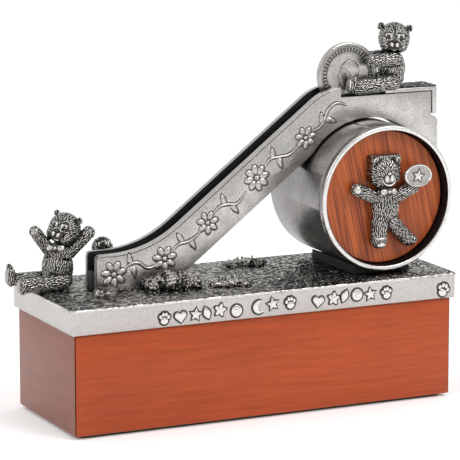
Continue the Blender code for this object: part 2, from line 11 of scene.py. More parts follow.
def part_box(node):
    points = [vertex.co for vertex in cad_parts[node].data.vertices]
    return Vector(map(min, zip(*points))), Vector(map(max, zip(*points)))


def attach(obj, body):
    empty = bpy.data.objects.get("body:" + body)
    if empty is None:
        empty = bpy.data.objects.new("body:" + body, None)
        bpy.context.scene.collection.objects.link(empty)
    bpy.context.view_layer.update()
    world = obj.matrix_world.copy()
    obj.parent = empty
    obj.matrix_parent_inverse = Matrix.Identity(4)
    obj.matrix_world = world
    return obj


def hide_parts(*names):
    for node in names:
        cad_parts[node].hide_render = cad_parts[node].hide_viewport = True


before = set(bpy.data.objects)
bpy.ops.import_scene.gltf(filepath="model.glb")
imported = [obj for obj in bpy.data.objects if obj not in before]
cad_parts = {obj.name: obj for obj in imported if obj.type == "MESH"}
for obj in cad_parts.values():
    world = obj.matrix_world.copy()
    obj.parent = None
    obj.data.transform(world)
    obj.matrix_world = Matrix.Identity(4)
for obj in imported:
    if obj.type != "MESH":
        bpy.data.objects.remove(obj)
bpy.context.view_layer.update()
mm = 0.001
print("frame loaded:", len(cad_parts), "nodes")


# small tools

def at(x, y, z):
    return Vector((x, y, z)) * mm


def meshOf(bm, name):
    mesh = bpy.data.meshes.new(name)
    bm.to_mesh(mesh)
    bm.free()
    return mesh


def onStage(name, data):
    made = bpy.data.objects.new(name, data)
    bpy.context.scene.collection.objects.link(made)
    return made


def addPiece(name, bm, material, body="bank", slotName="satin_pewter", stands=(), sharp=40, extra=()):
    mesh = meshOf(bm, name)
    for finish in (material, *extra):
        mesh.materials.append(finish)
    mesh.shade_smooth()
    mesh.set_sharp_from_angle(angle=math.radians(sharp))
    piece = onStage(name, mesh)
    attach(piece, body)
    if stands:
        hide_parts(*stands)


def easeEdges(bm, edges, width, segments=2):
    bmesh.ops.bevel(bm, geom=edges, offset=width * mm, offset_type="OFFSET", segments=segments,
                    profile=0.5, affect="EDGES", clamp_overlap=True, material=-1)
    bmesh.ops.triangulate(bm, faces=[f for f in bm.faces if len(f.verts) > 4])


def welded(node):  # a CAD node's loose triangles joined up
    bm = bmesh.new()
    bm.from_mesh(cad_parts[node].data)
    bmesh.ops.remove_doubles(bm, verts=bm.verts, dist=0.002 * mm)
    return bm


def castCopy(node, edge=0.3, segments=2):  # a CAD node's shape with its edges eased
    flatWithin, sharpPast = math.radians(0.8), math.radians(35)
    bm = welded(node)
    bmesh.ops.dissolve_limit(bm, angle_limit=flatWithin, verts=bm.verts, edges=bm.edges)
    easeEdges(bm, [e for e in bm.edges if e.is_manifold and e.calc_face_angle() > sharpPast], edge, segments)
    return bm


def spun(profile, centre, steps=96):  # (radius, depth) pairs turned about the line through centre along Y
    bm = bmesh.new()
    side, up = Vector((1, 0, 0)), Vector((0, 1, 0))
    verts = [bm.verts.new(Vector(centre) * mm + (side * r + up * h) * mm) for r, h in profile]
    edges = [bm.edges.new(pair) for pair in zip(verts, verts[1:])]
    if profile[0][0] > 0.001:
        edges.append(bm.edges.new((verts[-1], verts[0])))
    bmesh.ops.spin(bm, geom=verts + edges, cent=Vector(centre) * mm, axis=up, angle=2 * math.pi,
                   steps=steps, use_merge=True)
    bmesh.ops.remove_doubles(bm, verts=bm.verts, dist=0.003 * mm)
    bmesh.ops.recalc_face_normals(bm, faces=bm.faces)
    return bm


def ball(bm, centre, radii, turn=None, u=20, v=12):
    place = Matrix.Translation(Vector(centre) * mm) @ (turn or Matrix()).to_4x4()
    place = place @ Matrix.Diagonal((*[r * mm for r in radii], 1))
    return bmesh.ops.create_uvsphere(bm, u_segments=u, v_segments=v, radius=1, matrix=place)["verts"]


def rod(bm, start, end, startRadius, endRadius, sides=20):  # round-ended limb
    a, b = Vector(start), Vector(end)
    along = (b - a).normalized()
    turn = along.to_track_quat("Z", "Y").to_matrix().to_4x4()
    place = Matrix.Translation((a + b) / 2 * mm) @ turn
    bmesh.ops.create_cone(bm, cap_ends=True, segments=sides, radius1=startRadius * mm,
                          radius2=endRadius * mm, depth=(b - a).length * mm, matrix=place)
    ball(bm, a, [startRadius] * 3, u=sides, v=10)
    ball(bm, b, [endRadius] * 3, u=sides, v=10)


def facing(direction):  # turn whose Z looks along direction
    z = Vector(direction).normalized()
    x = Vector((0, 0, 1)).cross(z).normalized()
    return Matrix((x, z.cross(x), z)).transposed()


def evaluated(data, voxel=None):  # a curve's final mesh, or overlapping forms joined into one skin
    holder = onStage(data.name, data)
    if voxel:
        step = holder.modifiers.new("skin", "REMESH")
        step.mode = "VOXEL"
        step.voxel_size = voxel * mm
    bpy.context.view_layer.update()
    mesh = bpy.data.meshes.new_from_object(holder.evaluated_get(bpy.context.evaluated_depsgraph_get()))
    bpy.data.objects.remove(holder)
    if voxel:
        bpy.data.meshes.remove(data)
    bm = bmesh.new()
    bm.from_mesh(mesh)
    bpy.data.meshes.remove(mesh)
    return bm


def tube(points, radius, flat=1.0, thin=0.35):  # smooth stem through points, flattened front to back
    curve = bpy.data.curves.new("stem", "CURVE")
    curve.dimensions = "3D"
    curve.bevel_depth = radius * mm
    curve.bevel_resolution = 3
    curve.use_fill_caps = True
    line = curve.splines.new("BEZIER")
    line.bezier_points.add(len(points) - 1)
    for i, (spot, knot) in enumerate(zip(points, line.bezier_points)):
        knot.co = Vector(spot) * mm
        knot.handle_left_type = knot.handle_right_type = "AUTO"
        share = i / max(1, len(points) - 1)
        knot.radius = 1 - (1 - thin) * abs(2 * share - 1) ** 3
    curve.resolution_u = 8
    bm = evaluated(curve)
    if flat != 1.0:
        middle = Matrix.Translation((0, -points[0][1] * mm, 0))
        bmesh.ops.scale(bm, vec=(1, flat, 1), space=middle, verts=bm.verts)
    bmesh.ops.remove_doubles(bm, verts=bm.verts, dist=0.001 * mm)
    return bm


def absorb(bm, other):  # other's mesh joins bm
    mesh = meshOf(other, "joined")
    bm.from_mesh(mesh)
    bpy.data.meshes.remove(mesh)


def plate(bm, outline, place, thick, edge=0.12):  # flat shape raised from z = 0 by thick, its rim eased
    part = bmesh.new()
    face = part.faces.new([part.verts.new((x * mm, y * mm, 0)) for x, y in outline])
    lifted = bmesh.ops.extrude_face_region(part, geom=[face])["geom"]
    top = [g for g in lifted if isinstance(g, bmesh.types.BMVert)]
    bmesh.ops.translate(part, vec=(0, 0, thick * mm), verts=top)
    bmesh.ops.recalc_face_normals(part, faces=part.faces)
    easeEdges(part, [e for e in part.edges if all(v.co.z > thick * mm / 2 for v in e.verts)], edge)
    bmesh.ops.transform(part, matrix=place, verts=part.verts)
    absorb(bm, part)


def press(bm, spot, radius, depth):  # pushes the skin in round a spot
    centre = Vector(spot) * mm
    moves = []
    for v in bm.verts:
        away = (v.co - centre).length / (radius * mm)
        if away < 1:
            moves.append((v, v.normal.copy() * (-depth * mm * (1 - away * away) ** 2)))
    for v, move in moves:
        v.co += move
    bm.normal_update()


def surfaceOf(bm):
    bm.normal_update()
    bm.verts.ensure_lookup_table()
    return np.array([v.co for v in bm.verts]) / mm, np.array([v.normal for v in bm.verts])


def layHairs(dice, surface, chosen, flow, spread, span, bend):
    # at each chosen spot: the way a hair lies, the way across it, a draw from span, and its bend
    tree = KDTree(len(chosen))
    ways, sides, draws, bends = [], [], [], []
    for n, i in enumerate(chosen):
        spot, normal = surface[0][i], Vector(surface[1][i])
        tree.insert(spot, n)
        way = Vector(flow(Vector(spot), normal))
        way = way - normal * way.dot(normal)
        way = way.normalized() if way.length > 1e-4 else normal.orthogonal().normalized()
        way = Matrix.Rotation(dice.gauss(0, spread), 3, normal) @ way
        ways.append(way)
        sides.append(normal.cross(way))
        draws.append(dice.uniform(*span))
        bends.append(dice.uniform(-bend, bend))
    tree.balance()
    near = np.array([[hit[1] for hit in tree.find_n(spot, 7)] for spot in surface[0]])
    return near, np.array(ways), np.array(sides), np.array(draws), np.array(bends)


def raiseRelief(bm, relief, depth, surface, where, plain):  # plain is the level kept where nothing is cut
    mask = np.ones(len(relief)) if where is None else np.array([where(p, n) for p, n in zip(*surface)])
    layer = bm.verts.layers.float.get("relief") or bm.verts.layers.float.new("relief")
    for v, level, share in zip(bm.verts, relief, mask):
        v.co += v.normal * (depth * mm * (level - 0.5) * share)
        v[layer] = level * share + plain * (1 - share)


def strokes(bm, count, length, width, depth, flow, seed, where, spread):
    # short raised strokes of grass or leaf cut into a skin; their height is kept as the attribute "relief"
    dice = random.Random(seed)
    surface = spots, normals = surfaceOf(bm)
    allowed = [i for i in range(len(bm.verts)) if where is None or where(spots[i], normals[i]) > 0.3]
    chosen = dice.sample(allowed, min(count, len(allowed)))
    near, ways, sides, heights, bends = layHairs(dice, surface, chosen, flow, spread, (0.62, 1.0), 0.9)
    relief = np.zeros(len(spots))
    for pick in near.T:
        reach = spots - spots[chosen][pick]
        u = np.einsum("ij,ij->i", reach, ways[pick])
        v = np.einsum("ij,ij->i", reach, sides[pick]) - bends[pick] * u * u / length
        shape = np.clip(1 - (2 * v / width) ** 2, 0, 1) * np.clip(1 - (2 * u / length) ** 4, 0, 1)
        relief = np.maximum(relief, shape * heights[pick])
    raiseRelief(bm, relief, depth, surface, where, 0.62)


def comb(bm, style, flow, seed, where):
    # fine parallel hairs in small tufts cut into a skin; their height, lowered by painted shade in the creases
    # between limbs, is kept as the attribute "relief"
    dice = random.Random(seed)
    surface = spots, normals = surfaceOf(bm)
    order = list(range(len(spots)))
    dice.shuffle(order)
    cells, chosen = {}, []
    for i in order:  # tuft centres no closer than the tuft's size
        a, b, c = [int(q // style["tuft"]) for q in spots[i]]
        close = [j for da in (-1, 0, 1) for db in (-1, 0, 1) for dc in (-1, 0, 1)
                 for j in cells.get((a + da, b + db, c + dc), ())]
        if all(((spots[i] - spots[j]) ** 2).sum() > style["tuft"] ** 2 for j in close):
            cells.setdefault((a, b, c), []).append(i)
            chosen.append(i)
    near, ways, sides, shifts, bends = layHairs(dice, surface, chosen, flow, 0.3, (0, 1), 0.25)
    away = spots[:, None, :] - spots[chosen][near]
    u = np.einsum("ijk,ijk->ij", away, ways[near])
    v = np.einsum("ijk,ijk->ij", away, sides[near])
    gap = np.sqrt((u / style["tuftLength"]) ** 2 + v ** 2)
    rows = np.arange(len(spots))
    best, second = np.argsort(gap, axis=1)[:, :2].T
    tuft = near[rows, best]
    across = v[rows, best] + bends[tuft] * u[rows, best] ** 2
    ridge = 0.5 + 0.5 * np.cos(2 * math.pi * (across / style["hair"] + shifts[tuft]))
    border = np.clip((gap[rows, second] - gap[rows, best]) / 0.3, 0, 1)
    sample = range(0, len(spots), 9)
    coarse = KDTree(len(sample))
    for i in sample:
        coarse.insert(spots[i], i)
    coarse.balance()
    around = np.array([[hit[1] for hit in coarse.find_n(spot, 20)] for spot in spots])
    sunk = np.einsum("ij,ij->i", spots[around].mean(axis=1) - spots, normals)
    creaseShade = np.clip(1 - 5.5 * (sunk - 0.02), 0.1, 1)  # painted shade: creases between limbs stay dark
    raiseRelief(bm, ridge * (0.3 + 0.7 * border) * creaseShade, style["furDepth"], surface, where, 0.5)


# finishes

def startMaterial(name, **fixed):
    material = bpy.data.materials.new(name)
    material.use_nodes = True
    shader = material.node_tree.nodes["Principled BSDF"]
    for socket, value in fixed.items():
        shader.inputs[socket.replace("_", " ")].default_value = value
    return material, material.node_tree, shader


def addNode(tree, kind, settings=None, **inputs):
    made = tree.nodes.new(kind)
    for key, value in (settings or {}).items():
        setattr(made, key, value)
    for key, value in inputs.items():
        socket = made.inputs[key.replace("_", " ")]
        if isinstance(value, bpy.types.NodeSocket):
            tree.links.new(value, socket)
        else:
            socket.default_value = value
    return made


def ramp(tree, factor, *stops):
    made = tree.nodes.new("ShaderNodeValToRGB")
    tree.links.new(factor, made.inputs["Fac"])
    elements = made.color_ramp.elements
    while len(elements) < len(stops):
        elements.new(0.5)
    for element, (place, colour) in zip(elements, stops):
        element.position = place
        element.color = (*colour, 1)
    return made.outputs["Color"]


def blendColours(tree, mode, amount, first, second):
    made = tree.nodes.new("ShaderNodeMix")
    made.data_type = "RGBA"
    made.blend_type = mode
    made.inputs["Factor"].default_value = amount
    tree.links.new(first, made.inputs["A"])
    tree.links.new(second, made.inputs["B"])
    return made.outputs["Result"]


def castMetal(name, bright, rough, mottle, speckle, speckleDepth, contrast, dark=None, cut=None, metal=1.0):
    # pewter: cloudy patina, fine casting grain, and dark where the relief attribute is low: patina in the
    # hollows, and painted shade in the fur's creases
    material, tree, shader = startMaterial(name, Metallic=metal)
    place = addNode(tree, "ShaderNodeTexCoord").outputs["Object"]
    cloud = addNode(tree, "ShaderNodeTexNoise", Vector=place, Scale=mottle, Detail=4.0, Roughness=0.6)
    grain = addNode(tree, "ShaderNodeTexNoise", Vector=place, Scale=speckle, Detail=2.0)
    half = 0.28 / max(contrast, 0.2) * 0.5
    dim = [c * (1 - 0.45 * contrast) for c in bright]
    colour = ramp(tree, cloud.outputs["Fac"], (0.5 - half, dim), (0.5 + half, bright))
    freckle = ramp(tree, grain.outputs["Fac"], (0.35, (0.5, 0.5, 0.5)), (0.51, (1, 1, 1)))
    colour = blendColours(tree, "MULTIPLY", contrast, colour, freckle)
    if cut:
        level = addNode(tree, "ShaderNodeAttribute", {"attribute_name": "relief"}).outputs["Fac"]
        tone = ramp(tree, level, (cut[0], dark), ((cut[0] + cut[1]) / 2, [(d + 0.35) / 3 for d in dark]),
                    (cut[1], (1, 1, 1)))
        colour = blendColours(tree, "MULTIPLY", 1.0, colour, tone)
    tree.links.new(colour, shader.inputs["Base Color"])
    gloss = addNode(tree, "ShaderNodeMapRange", Value=cloud.outputs["Fac"], To_Min=rough + 0.09,
                    To_Max=rough - 0.07)
    tree.links.new(gloss.outputs["Result"], shader.inputs["Roughness"])
    fine = addNode(tree, "ShaderNodeBump", Strength=speckleDepth, Distance=0.12 * mm,
                   Height=grain.outputs["Fac"])
    soft = addNode(tree, "ShaderNodeBump", Strength=0.35, Distance=0.5 * mm,
                   Height=cloud.outputs["Fac"], Normal=fine.outputs["Normal"])
    tree.links.new(soft.outputs["Normal"], shader.inputs["Normal"])
    return material


def grainedWood(name, light, deep, along="X", lean=0.0, streak=0.5, coat=0.35, pitch=1.0):
    # stained wood: long streaks, fine dark pores, a satin lacquer over them
    material, tree, shader = startMaterial(name, Roughness=0.42, Specular_IOR_Level=0.3, Coat_Weight=coat,
                                           Coat_Roughness=0.22)
    place = addNode(tree, "ShaderNodeTexCoord").outputs["Object"]
    stretch = {"X": (36, 800, 800), "Y": (800, 36, 800), "Z": (720, 720, 22)}[along]
    turned = addNode(tree, "ShaderNodeMapping", Vector=place, Rotation=(0, lean, 0))
    laid = addNode(tree, "ShaderNodeMapping", Vector=turned.outputs["Vector"],
                   Scale=tuple(s / pitch for s in stretch)).outputs["Vector"]
    figure = addNode(tree, "ShaderNodeTexNoise", Vector=laid, Scale=1.0, Detail=5.0, Roughness=0.62,
                     Distortion=0.25)
    finer = {"X": (2.6, 4.2, 4.2), "Y": (4.2, 2.6, 4.2), "Z": (3.4, 3.4, 1.3)}[along]
    fine = addNode(tree, "ShaderNodeMapping", Vector=laid, Scale=finer)
    pores = addNode(tree, "ShaderNodeTexNoise", Vector=fine.outputs["Vector"], Scale=1.0, Detail=3.0)
    wide = addNode(tree, "ShaderNodeTexNoise", Vector=place, Scale=22.0, Detail=2.0)
    colour = ramp(tree, figure.outputs["Fac"], (0.36, deep), (0.62, light))
    dashes = ramp(tree, pores.outputs["Fac"], (0.37, (1 - streak, 1 - streak, 1 - streak)), (0.45, (1, 1, 1)))
    colour = blendColours(tree, "MULTIPLY", 1.0, colour, dashes)
    shade = ramp(tree, wide.outputs["Fac"], (0.35, (0.88, 0.86, 0.84)), (0.65, (1, 1, 1)))
    colour = blendColours(tree, "MULTIPLY", 1.0, colour, shade)
    tree.links.new(colour, shader.inputs["Base Color"])
    relief = addNode(tree, "ShaderNodeBump", Strength=0.18, Distance=0.1 * mm, Height=pores.outputs["Fac"])
    tree.links.new(relief.outputs["Normal"], shader.inputs["Normal"])
    return material


def plainCloth(name, colour, scale, rough, sheen=0.0, bump=0.5, metal=0.0):
    # felt, rubber and screw steel: a fine grain over one colour
    material, tree, shader = startMaterial(name, Roughness=rough, Metallic=metal, Sheen_Weight=sheen)
    place = addNode(tree, "ShaderNodeTexCoord").outputs["Object"]
    grain = addNode(tree, "ShaderNodeTexNoise", Vector=place, Scale=scale, Detail=4.0)
    tone = ramp(tree, grain.outputs["Fac"], (0.3, [c * 0.72 for c in colour]), (0.7, colour))
    tree.links.new(tone, shader.inputs["Base Color"])
    nap = addNode(tree, "ShaderNodeBump", Strength=bump, Distance=0.1 * mm, Height=grain.outputs["Fac"])
    tree.links.new(nap.outputs["Normal"], shader.inputs["Normal"])
    return material


# colour, roughness, scale of the patina's clouds and of the grain, grain depth, contrast, and for cut skins the
# colour of the hollows and the heights between which they clear
skirtPewter = castMetal("skirtPewter", (0.56, 0.53, 0.51), 0.34, 60, 1300, 0.12, 0.25)
cheekPewter = castMetal("cheekPewter", (0.62, 0.6, 0.58), 0.32, 150, 1900, 0.6, 0.6)
# the barrel's pewter is darker than the skirt's: painted reflection of the darker surroundings it mirrors
barrelPewter = castMetal("barrelPewter", (0.31, 0.298, 0.29), 0.28, 90, 1300, 0.35, 0.55)
rimPewter = castMetal("rimPewter", (0.74, 0.72, 0.7), 0.24, 200, 1500, 0.15, 0.3)
turfPewter = castMetal("turfPewter", (0.66, 0.64, 0.61), 0.34, 110, 1600, 0.3, 0.45, (0.07, 0.066, 0.062),
                       (0.18, 0.82))
# a darker copy of the turf for the pusher: painted shade where the riding bear's shadow falls
shadedTurf = castMetal("shadedTurf", (0.4, 0.385, 0.37), 0.42, 110, 1600, 0.3, 0.7, (0.04, 0.038, 0.035),
                     (0.42, 1.0))
furPewter = castMetal("furPewter", (0.68, 0.66, 0.63), 0.28, 170, 2200, 0.2, 0.35, (0.05, 0.047, 0.044),
                      (0.2, 0.68))
leafPewter = castMetal("leafPewter", (0.5, 0.48, 0.46), 0.3, 420, 2200, 0.4, 0.9)
bloomPewter = castMetal("bloomPewter", (0.3, 0.288, 0.277), 0.36, 420, 2200, 0.4, 0.8)
brightPewter = castMetal("brightPewter", (0.78, 0.76, 0.73), 0.26, 260, 2000, 0.2, 0.35)
facePewter = castMetal("facePewter", (0.76, 0.74, 0.71), 0.3, 420, 2000, 0.3, 0.4)
padPewter = castMetal("padPewter", (0.45, 0.43, 0.41), 0.34, 260, 2000, 0.3, 0.5)
# near-black pewter: patina in hollows, and painted shade behind the bow and round the raised vine and frieze
hollowAndShadePewter = castMetal("hollowAndShadePewter", (0.1, 0.095, 0.09), 0.5, 260, 2000, 0.4, 0.5)
# near-black pewter for the channel rail, and painted shade on the cheeks' channel faces and the walls inside
# the drum's rim
darkPewter = castMetal("darkPewter", (0.035, 0.033, 0.034), 0.5, 160, 1500, 0.4, 0.5)
shadowPewter = castMetal("shadowPewter", (0.02, 0.019, 0.018), 0.75, 160, 1500, 0.4, 0.5, metal=0.4)
coinMetal = castMetal("coinMetal", (0.52, 0.5, 0.48), 0.28, 420, 2600, 0.25, 0.6)
grooveMetal = castMetal("grooveMetal", (0.13, 0.125, 0.12), 0.4, 420, 2600, 0.25, 0.6)
boxWood = grainedWood("boxWood", (0.42, 0.066, 0.011), (0.34, 0.05, 0.008), "X", 0.0, 0.16, 0.08)
# the end boards' wood is darker than the front's: painted shade of the ends, which take less light
shadedEndWood = grainedWood("shadedEndWood", (0.22, 0.052, 0.02), (0.175, 0.04, 0.015), "Y", 0.0, 0.14, 0.4)
discWood = grainedWood("discWood", (0.52, 0.12, 0.026), (0.28, 0.05, 0.012), "Z", math.radians(12), 0.75, 0.1,
                       0.75)
bareWood = grainedWood("bareWood", (0.5, 0.31, 0.16), (0.36, 0.2, 0.1), "X", 0.0, 0.3, 0.0)
feltCloth = plainCloth("feltCloth", (0.02, 0.045, 0.032), 2400, 0.95, 0.3, 0.8)
softRubber = plainCloth("softRubber", (0.018, 0.018, 0.018), 900, 0.7)
screwSteel = plainCloth("screwSteel", (0.6, 0.6, 0.61), 1800, 0.3, 0.0, 0.15, 1.0)
print("finishes ready")

# CAD nodes that stay as they are
keptNodes = {"bottom_board": bareWood, "top_board": bareWood, "felt_base": feltCloth,
             "rubber_stopper": softRubber, "keeper_pin": screwSteel}
keptNodes.update({node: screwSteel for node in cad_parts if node[-1].isdigit()})
for node, material in keptNodes.items():
    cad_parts[node].material_slots[0].material = material

# money box
box = {"edge": 0.35, "edgeSteps": 3, "long": boxWood, "short": shadedEndWood}
for part, wood in (("front", "long"), ("back", "long"), ("left_end", "short"), ("right_end", "short")):
    addPiece(part + "_board", castCopy(part + "_panel", box["edge"], box["edgeSteps"]), box[wood], "bank",
             "stained_wood", [part + "_panel"])
print("money box done")

# cast deck
deck = {"grid": 0.37, "strokes": 7000, "strokeLength": 2.5, "strokeWidth": 0.78, "strokeDepth": 0.5,
        "rimDrop": 0.95, "rimProud": 0.3, "corner": 0.9, "wall": 1.8, "underside": 45.0, "hummocks": 0.35,
        "slotEnds": (-54.6, -26.0), "slotHalf": 2.9, "seed": 5}


def roundCorner(x, y, halfX, halfY, radius):  # a square corner's points eased onto a quarter disc
    u = (abs(x) - (halfX - radius)) / radius
    v = (abs(y) - (halfY - radius)) / radius
    if u <= 0 or v <= 0:
        return x, y
    a, b = u * math.sqrt(1 - v * v / 2), v * math.sqrt(1 - u * u / 2)
    return (math.copysign(halfX - radius + radius * a, x), math.copysign(halfY - radius + radius * b, y))


def buildDeck():
    low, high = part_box("deck_cap")
    halfX, halfY, corner = high.x / mm, high.y / mm, deck["corner"]
    top, foot = high.z / mm, low.z / mm
    (slotStart, slotEnd), slotHalf = deck["slotEnds"], deck["slotHalf"]
    place = Matrix.Translation((0, 0, top * mm)) @ Matrix.Diagonal((halfX * mm, halfY * mm, 1, 1))
    across, deep = int(2 * halfX / deck["grid"]), int(2 * halfY / deck["grid"])
    bm = bmesh.new()
    bmesh.ops.create_grid(bm, x_segments=across, y_segments=deep, size=1, matrix=place)
    for spot, way in (((slotStart, 0, 0), (1, 0, 0)), ((slotEnd, 0, 0), (1, 0, 0)),
                      ((0, -slotHalf, 0), (0, 1, 0)), ((0, slotHalf, 0), (0, 1, 0))):
        bmesh.ops.bisect_plane(bm, geom=bm.verts[:] + bm.edges[:] + bm.faces[:], dist=0.02 * mm,
                               plane_co=Vector(spot) * mm, plane_no=way)
    hole = [f for f in bm.faces if slotStart * mm < f.calc_center_median().x < slotEnd * mm
            and abs(f.calc_center_median().y) < slotHalf * mm]
    bmesh.ops.delete(bm, geom=hole, context="FACES")
    for v in bm.verts:
        v.co.x, v.co.y = [c * mm for c in roundCorner(v.co.x / mm, v.co.y / mm, halfX, halfY, corner)]

    def calm(spot, normal):  # quiet near the rim
        edge = min(halfX - abs(spot[0]), halfY - abs(spot[1]))
        return max(0.25, min(1.0, edge / 0.8))

    def sway(spot, normal):
        turn = 2.4 * noise.noise(spot / 13.0) + 0.5
        return (math.cos(turn), math.sin(turn), 0)

    strokes(bm, deck["strokes"], deck["strokeLength"], deck["strokeWidth"], deck["strokeDepth"], sway,
            deck["seed"], calm, 0.5)
    layer = bm.verts.layers.float["relief"]
    for v in bm.verts:  # soft hummocks under the blades
        edge = min(halfX - abs(v.co.x) / mm, halfY - abs(v.co.y) / mm)
        v.co.z += deck["hummocks"] * mm * noise.noise(v.co / mm / 7.0) * min(1.0, edge / 5.0)
    outer, inner = [], []
    for edge in (e for e in bm.edges if e.is_boundary):
        spot = edge.verts[0].co
        rim = max(abs(spot.x) / halfX, abs(spot.y) / halfY) > 0.9 * mm
        (outer if rim else inner).append(edge)

    def drop(edges, depth, grow, level=None, ragged=0.0):
        made = bmesh.ops.extrude_edge_only(bm, edges=edges)["geom"]
        for v in (g for g in made if isinstance(g, bmesh.types.BMVert)):
            way = Vector((math.copysign(1, v.co.x) if abs(v.co.x) > (halfX - corner) * mm else 0,
                          math.copysign(1, v.co.y) if abs(v.co.y) > (halfY - corner) * mm else 0, 0))
            v.co += way.normalized() * grow * mm if way.length else way
            v.co.z = level * mm if level is not None else v.co.z - depth * mm
            if ragged:
                wave = noise.noise(v.co / mm / 0.9 + Vector((3, 1, 0)))
                v.co.z += ragged * mm * wave
                v[layer] = 0.75 + 0.25 * wave
        return [g for g in made if isinstance(g, bmesh.types.BMEdge) and g.is_boundary]

    rimStart = len(bm.faces)
    ring = drop(outer, 0.35, deck["rimProud"], ragged=0.2)
    ring = drop(ring, 0.0, 0.0, top - deck["rimDrop"], 0.4)
    split = len(bm.faces)
    ring = drop(ring, 0.0, -deck["rimProud"], top - deck["rimDrop"] - 0.45)
    ring = drop(ring, 0.2, 0.0)
    ring = drop(ring, 0.0, 0.0, foot + 0.45)
    ring = drop(ring, 0.0, -0.35, foot)
    ring = drop(ring, 0.0, -deck["wall"] + 0.35, foot)
    ring = drop(ring, 0.0, 0.0, deck["underside"])
    slot = drop(inner, 0.0, 0.0, deck["underside"])
    bmesh.ops.triangle_fill(bm, edges=ring + slot, use_beauty=True)
    bm.faces.ensure_lookup_table()
    for face in bm.faces[split:]:
        face.material_index = 1
    for face in bm.faces[rimStart:split]:
        face.material_index = 2
    bmesh.ops.recalc_face_normals(bm, faces=bm.faces)
    return bm


addPiece("deck_casting", buildDeck(), turfPewter, "bank", "turf_pewter", ["deck_cap"], 60,
         [skirtPewter, rimPewter])
print("deck done")

# slide, tower and rail
slide = {"cheekEdge": 0.4, "railEdge": 0.2, "edge": 0.3, "backEdge": 0.4, "topAbove": 50}
for node, side in (("near_cheek", -1), ("far_cheek", 1)):
    bm = castCopy(node, slide["cheekEdge"])
    for face in bm.faces:  # painted shade: the channel faces between the cheeks are near-black
        face.material_index = int(face.normal.y * side < -0.9)
        if face.normal.z > 0.3 and face.calc_center_median().z > slide["topAbove"] * mm:
            face.material_index = 2
    addPiece(node + "_cast", bm, cheekPewter, "bank", "satin_pewter", [node], 40, [darkPewter, padPewter])
# the drum saddle is near-black: painted shadow under the drum
for node, material, edge, slotName in (("channel_rail", darkPewter, "railEdge", "blackened_pewter"),
                                       ("coin_stop", hollowAndShadePewter, "edge", "blackened_pewter"),
                                       ("drum_saddle", shadowPewter, "edge", "blackened_pewter"),
                                       ("drum_back_plate", barrelPewter, "backEdge", "satin_pewter")):
    addPiece(node + "_cast", castCopy(node, slide[edge]), material, "bank", slotName, [node])

# drum
drum = {"centre": (51.3, 0, 75.5), "radius": 26.8, "half": 21.5, "rim": 24.95, "bore": 23.3, "steps": 160,
        "discSeat": -12.0, "backSeat": 16.0, "unevenness": 0.07}
disc = {"radius": 24.6, "front": -17.1, "back": -12.3, "edge": 0.4, "steps": 128}


def buildDrum():
    r, h, inner, bore = drum["radius"], drum["half"], drum["rim"], drum["bore"]
    seat, back = drum["discSeat"], drum["backSeat"]
    lip = [(r - 0.55 + 0.55 * math.sin(t), -h + 0.55 - 0.55 * math.cos(t))
           for t in np.linspace(0, math.pi / 2, 5)]
    profile = [(inner, seat), (inner, -h + 0.5), (inner + 0.25, -h + 0.1), (inner + 0.5, -h)] + lip
    profile += [(r, -h + 2.6), (r - 0.25, -h + 2.9), (r - 0.25, -h + 3.3), (r, -h + 3.6)]
    profile += [(radius, -height) for radius, height in lip[::-1]]
    profile += [(inner + 0.5, h), (inner, h - 0.5), (inner, back), (bore, back), (bore, seat)]
    bm = spun(profile, drum["centre"], drum["steps"])
    middleX, middleZ = drum["centre"][0] * mm, drum["centre"][2] * mm
    for v in bm.verts:  # hand-finished barrel, never quite true
        away = Vector((v.co.x - middleX, 0, v.co.z - middleZ))
        if away.length > (r - 0.4) * mm:
            v.co += away.normalized() * drum["unevenness"] * mm * noise.noise(v.co / mm / 3.2)
    for face in bm.faces:
        spot = face.calc_center_median() - Vector(drum["centre"]) * mm
        reach = math.hypot(spot.x, spot.z) / mm
        # the walls inside the rim are near-black: painted shade
        if reach < inner + 0.15:
            face.material_index = 2
        elif spot.y < (-h + 1.0) * mm:
            face.material_index = 1
    return bm


def buildDisc():
    r, front, back, edge = disc["radius"], disc["front"], disc["back"], disc["edge"]
    profile = [(0, front), (r - edge, front), (r, front + edge), (r, back), (0, back)]
    return spun(profile, drum["centre"], disc["steps"])


addPiece("drum_barrel", buildDrum(), barrelPewter, "bank", "satin_pewter", ["drum_shell"], 40,
         [rimPewter, darkPewter])
addPiece("drum_disc", buildDisc(), discWood, "bank", "disc_wood", ["wood_disc"])
print("slide and drum done")

# coin
coin = {"centre": (45.2, 0, 118.7), "radius": 12.15, "field": 10.7, "half": 0.9, "sunk": 0.35, "beads": 46,
        "beadRing": 9.4, "portrait": (45.6, 118.3)}


def buildCoin():
    r, f, h, sunk, ring = (coin[key] for key in ("radius", "field", "half", "sunk", "beadRing"))
    profile = [(0, -h + sunk), (f, -h + sunk), (f + 0.2, -h), (r - 0.2, -h), (r, -h + 0.2), (r, h - 0.2),
               (r - 0.2, h), (f + 0.2, h), (f, h - sunk), (0, h - sunk)]
    bm = spun(profile, coin["centre"], 144)
    for i in range(coin["beads"]):
        turn = 2 * math.pi * i / coin["beads"]
        for side in (-1, 1):
            spot = (coin["centre"][0] + ring * math.cos(turn), side * (h - sunk),
                    coin["centre"][2] + ring * math.sin(turn))
            ball(bm, spot, (0.85, 0.2, 0.24), Matrix.Rotation(-turn, 3, "Y"), 8, 6)
    for side in (-1, 1):  # a raised line inside the ring of dentils
        line = [(8.0, side * (h - 0.42)), (8.15, side * (h - 0.2)), (8.3, side * (h - 0.42))]
        absorb(bm, spun(line, coin["centre"]))
    return bm


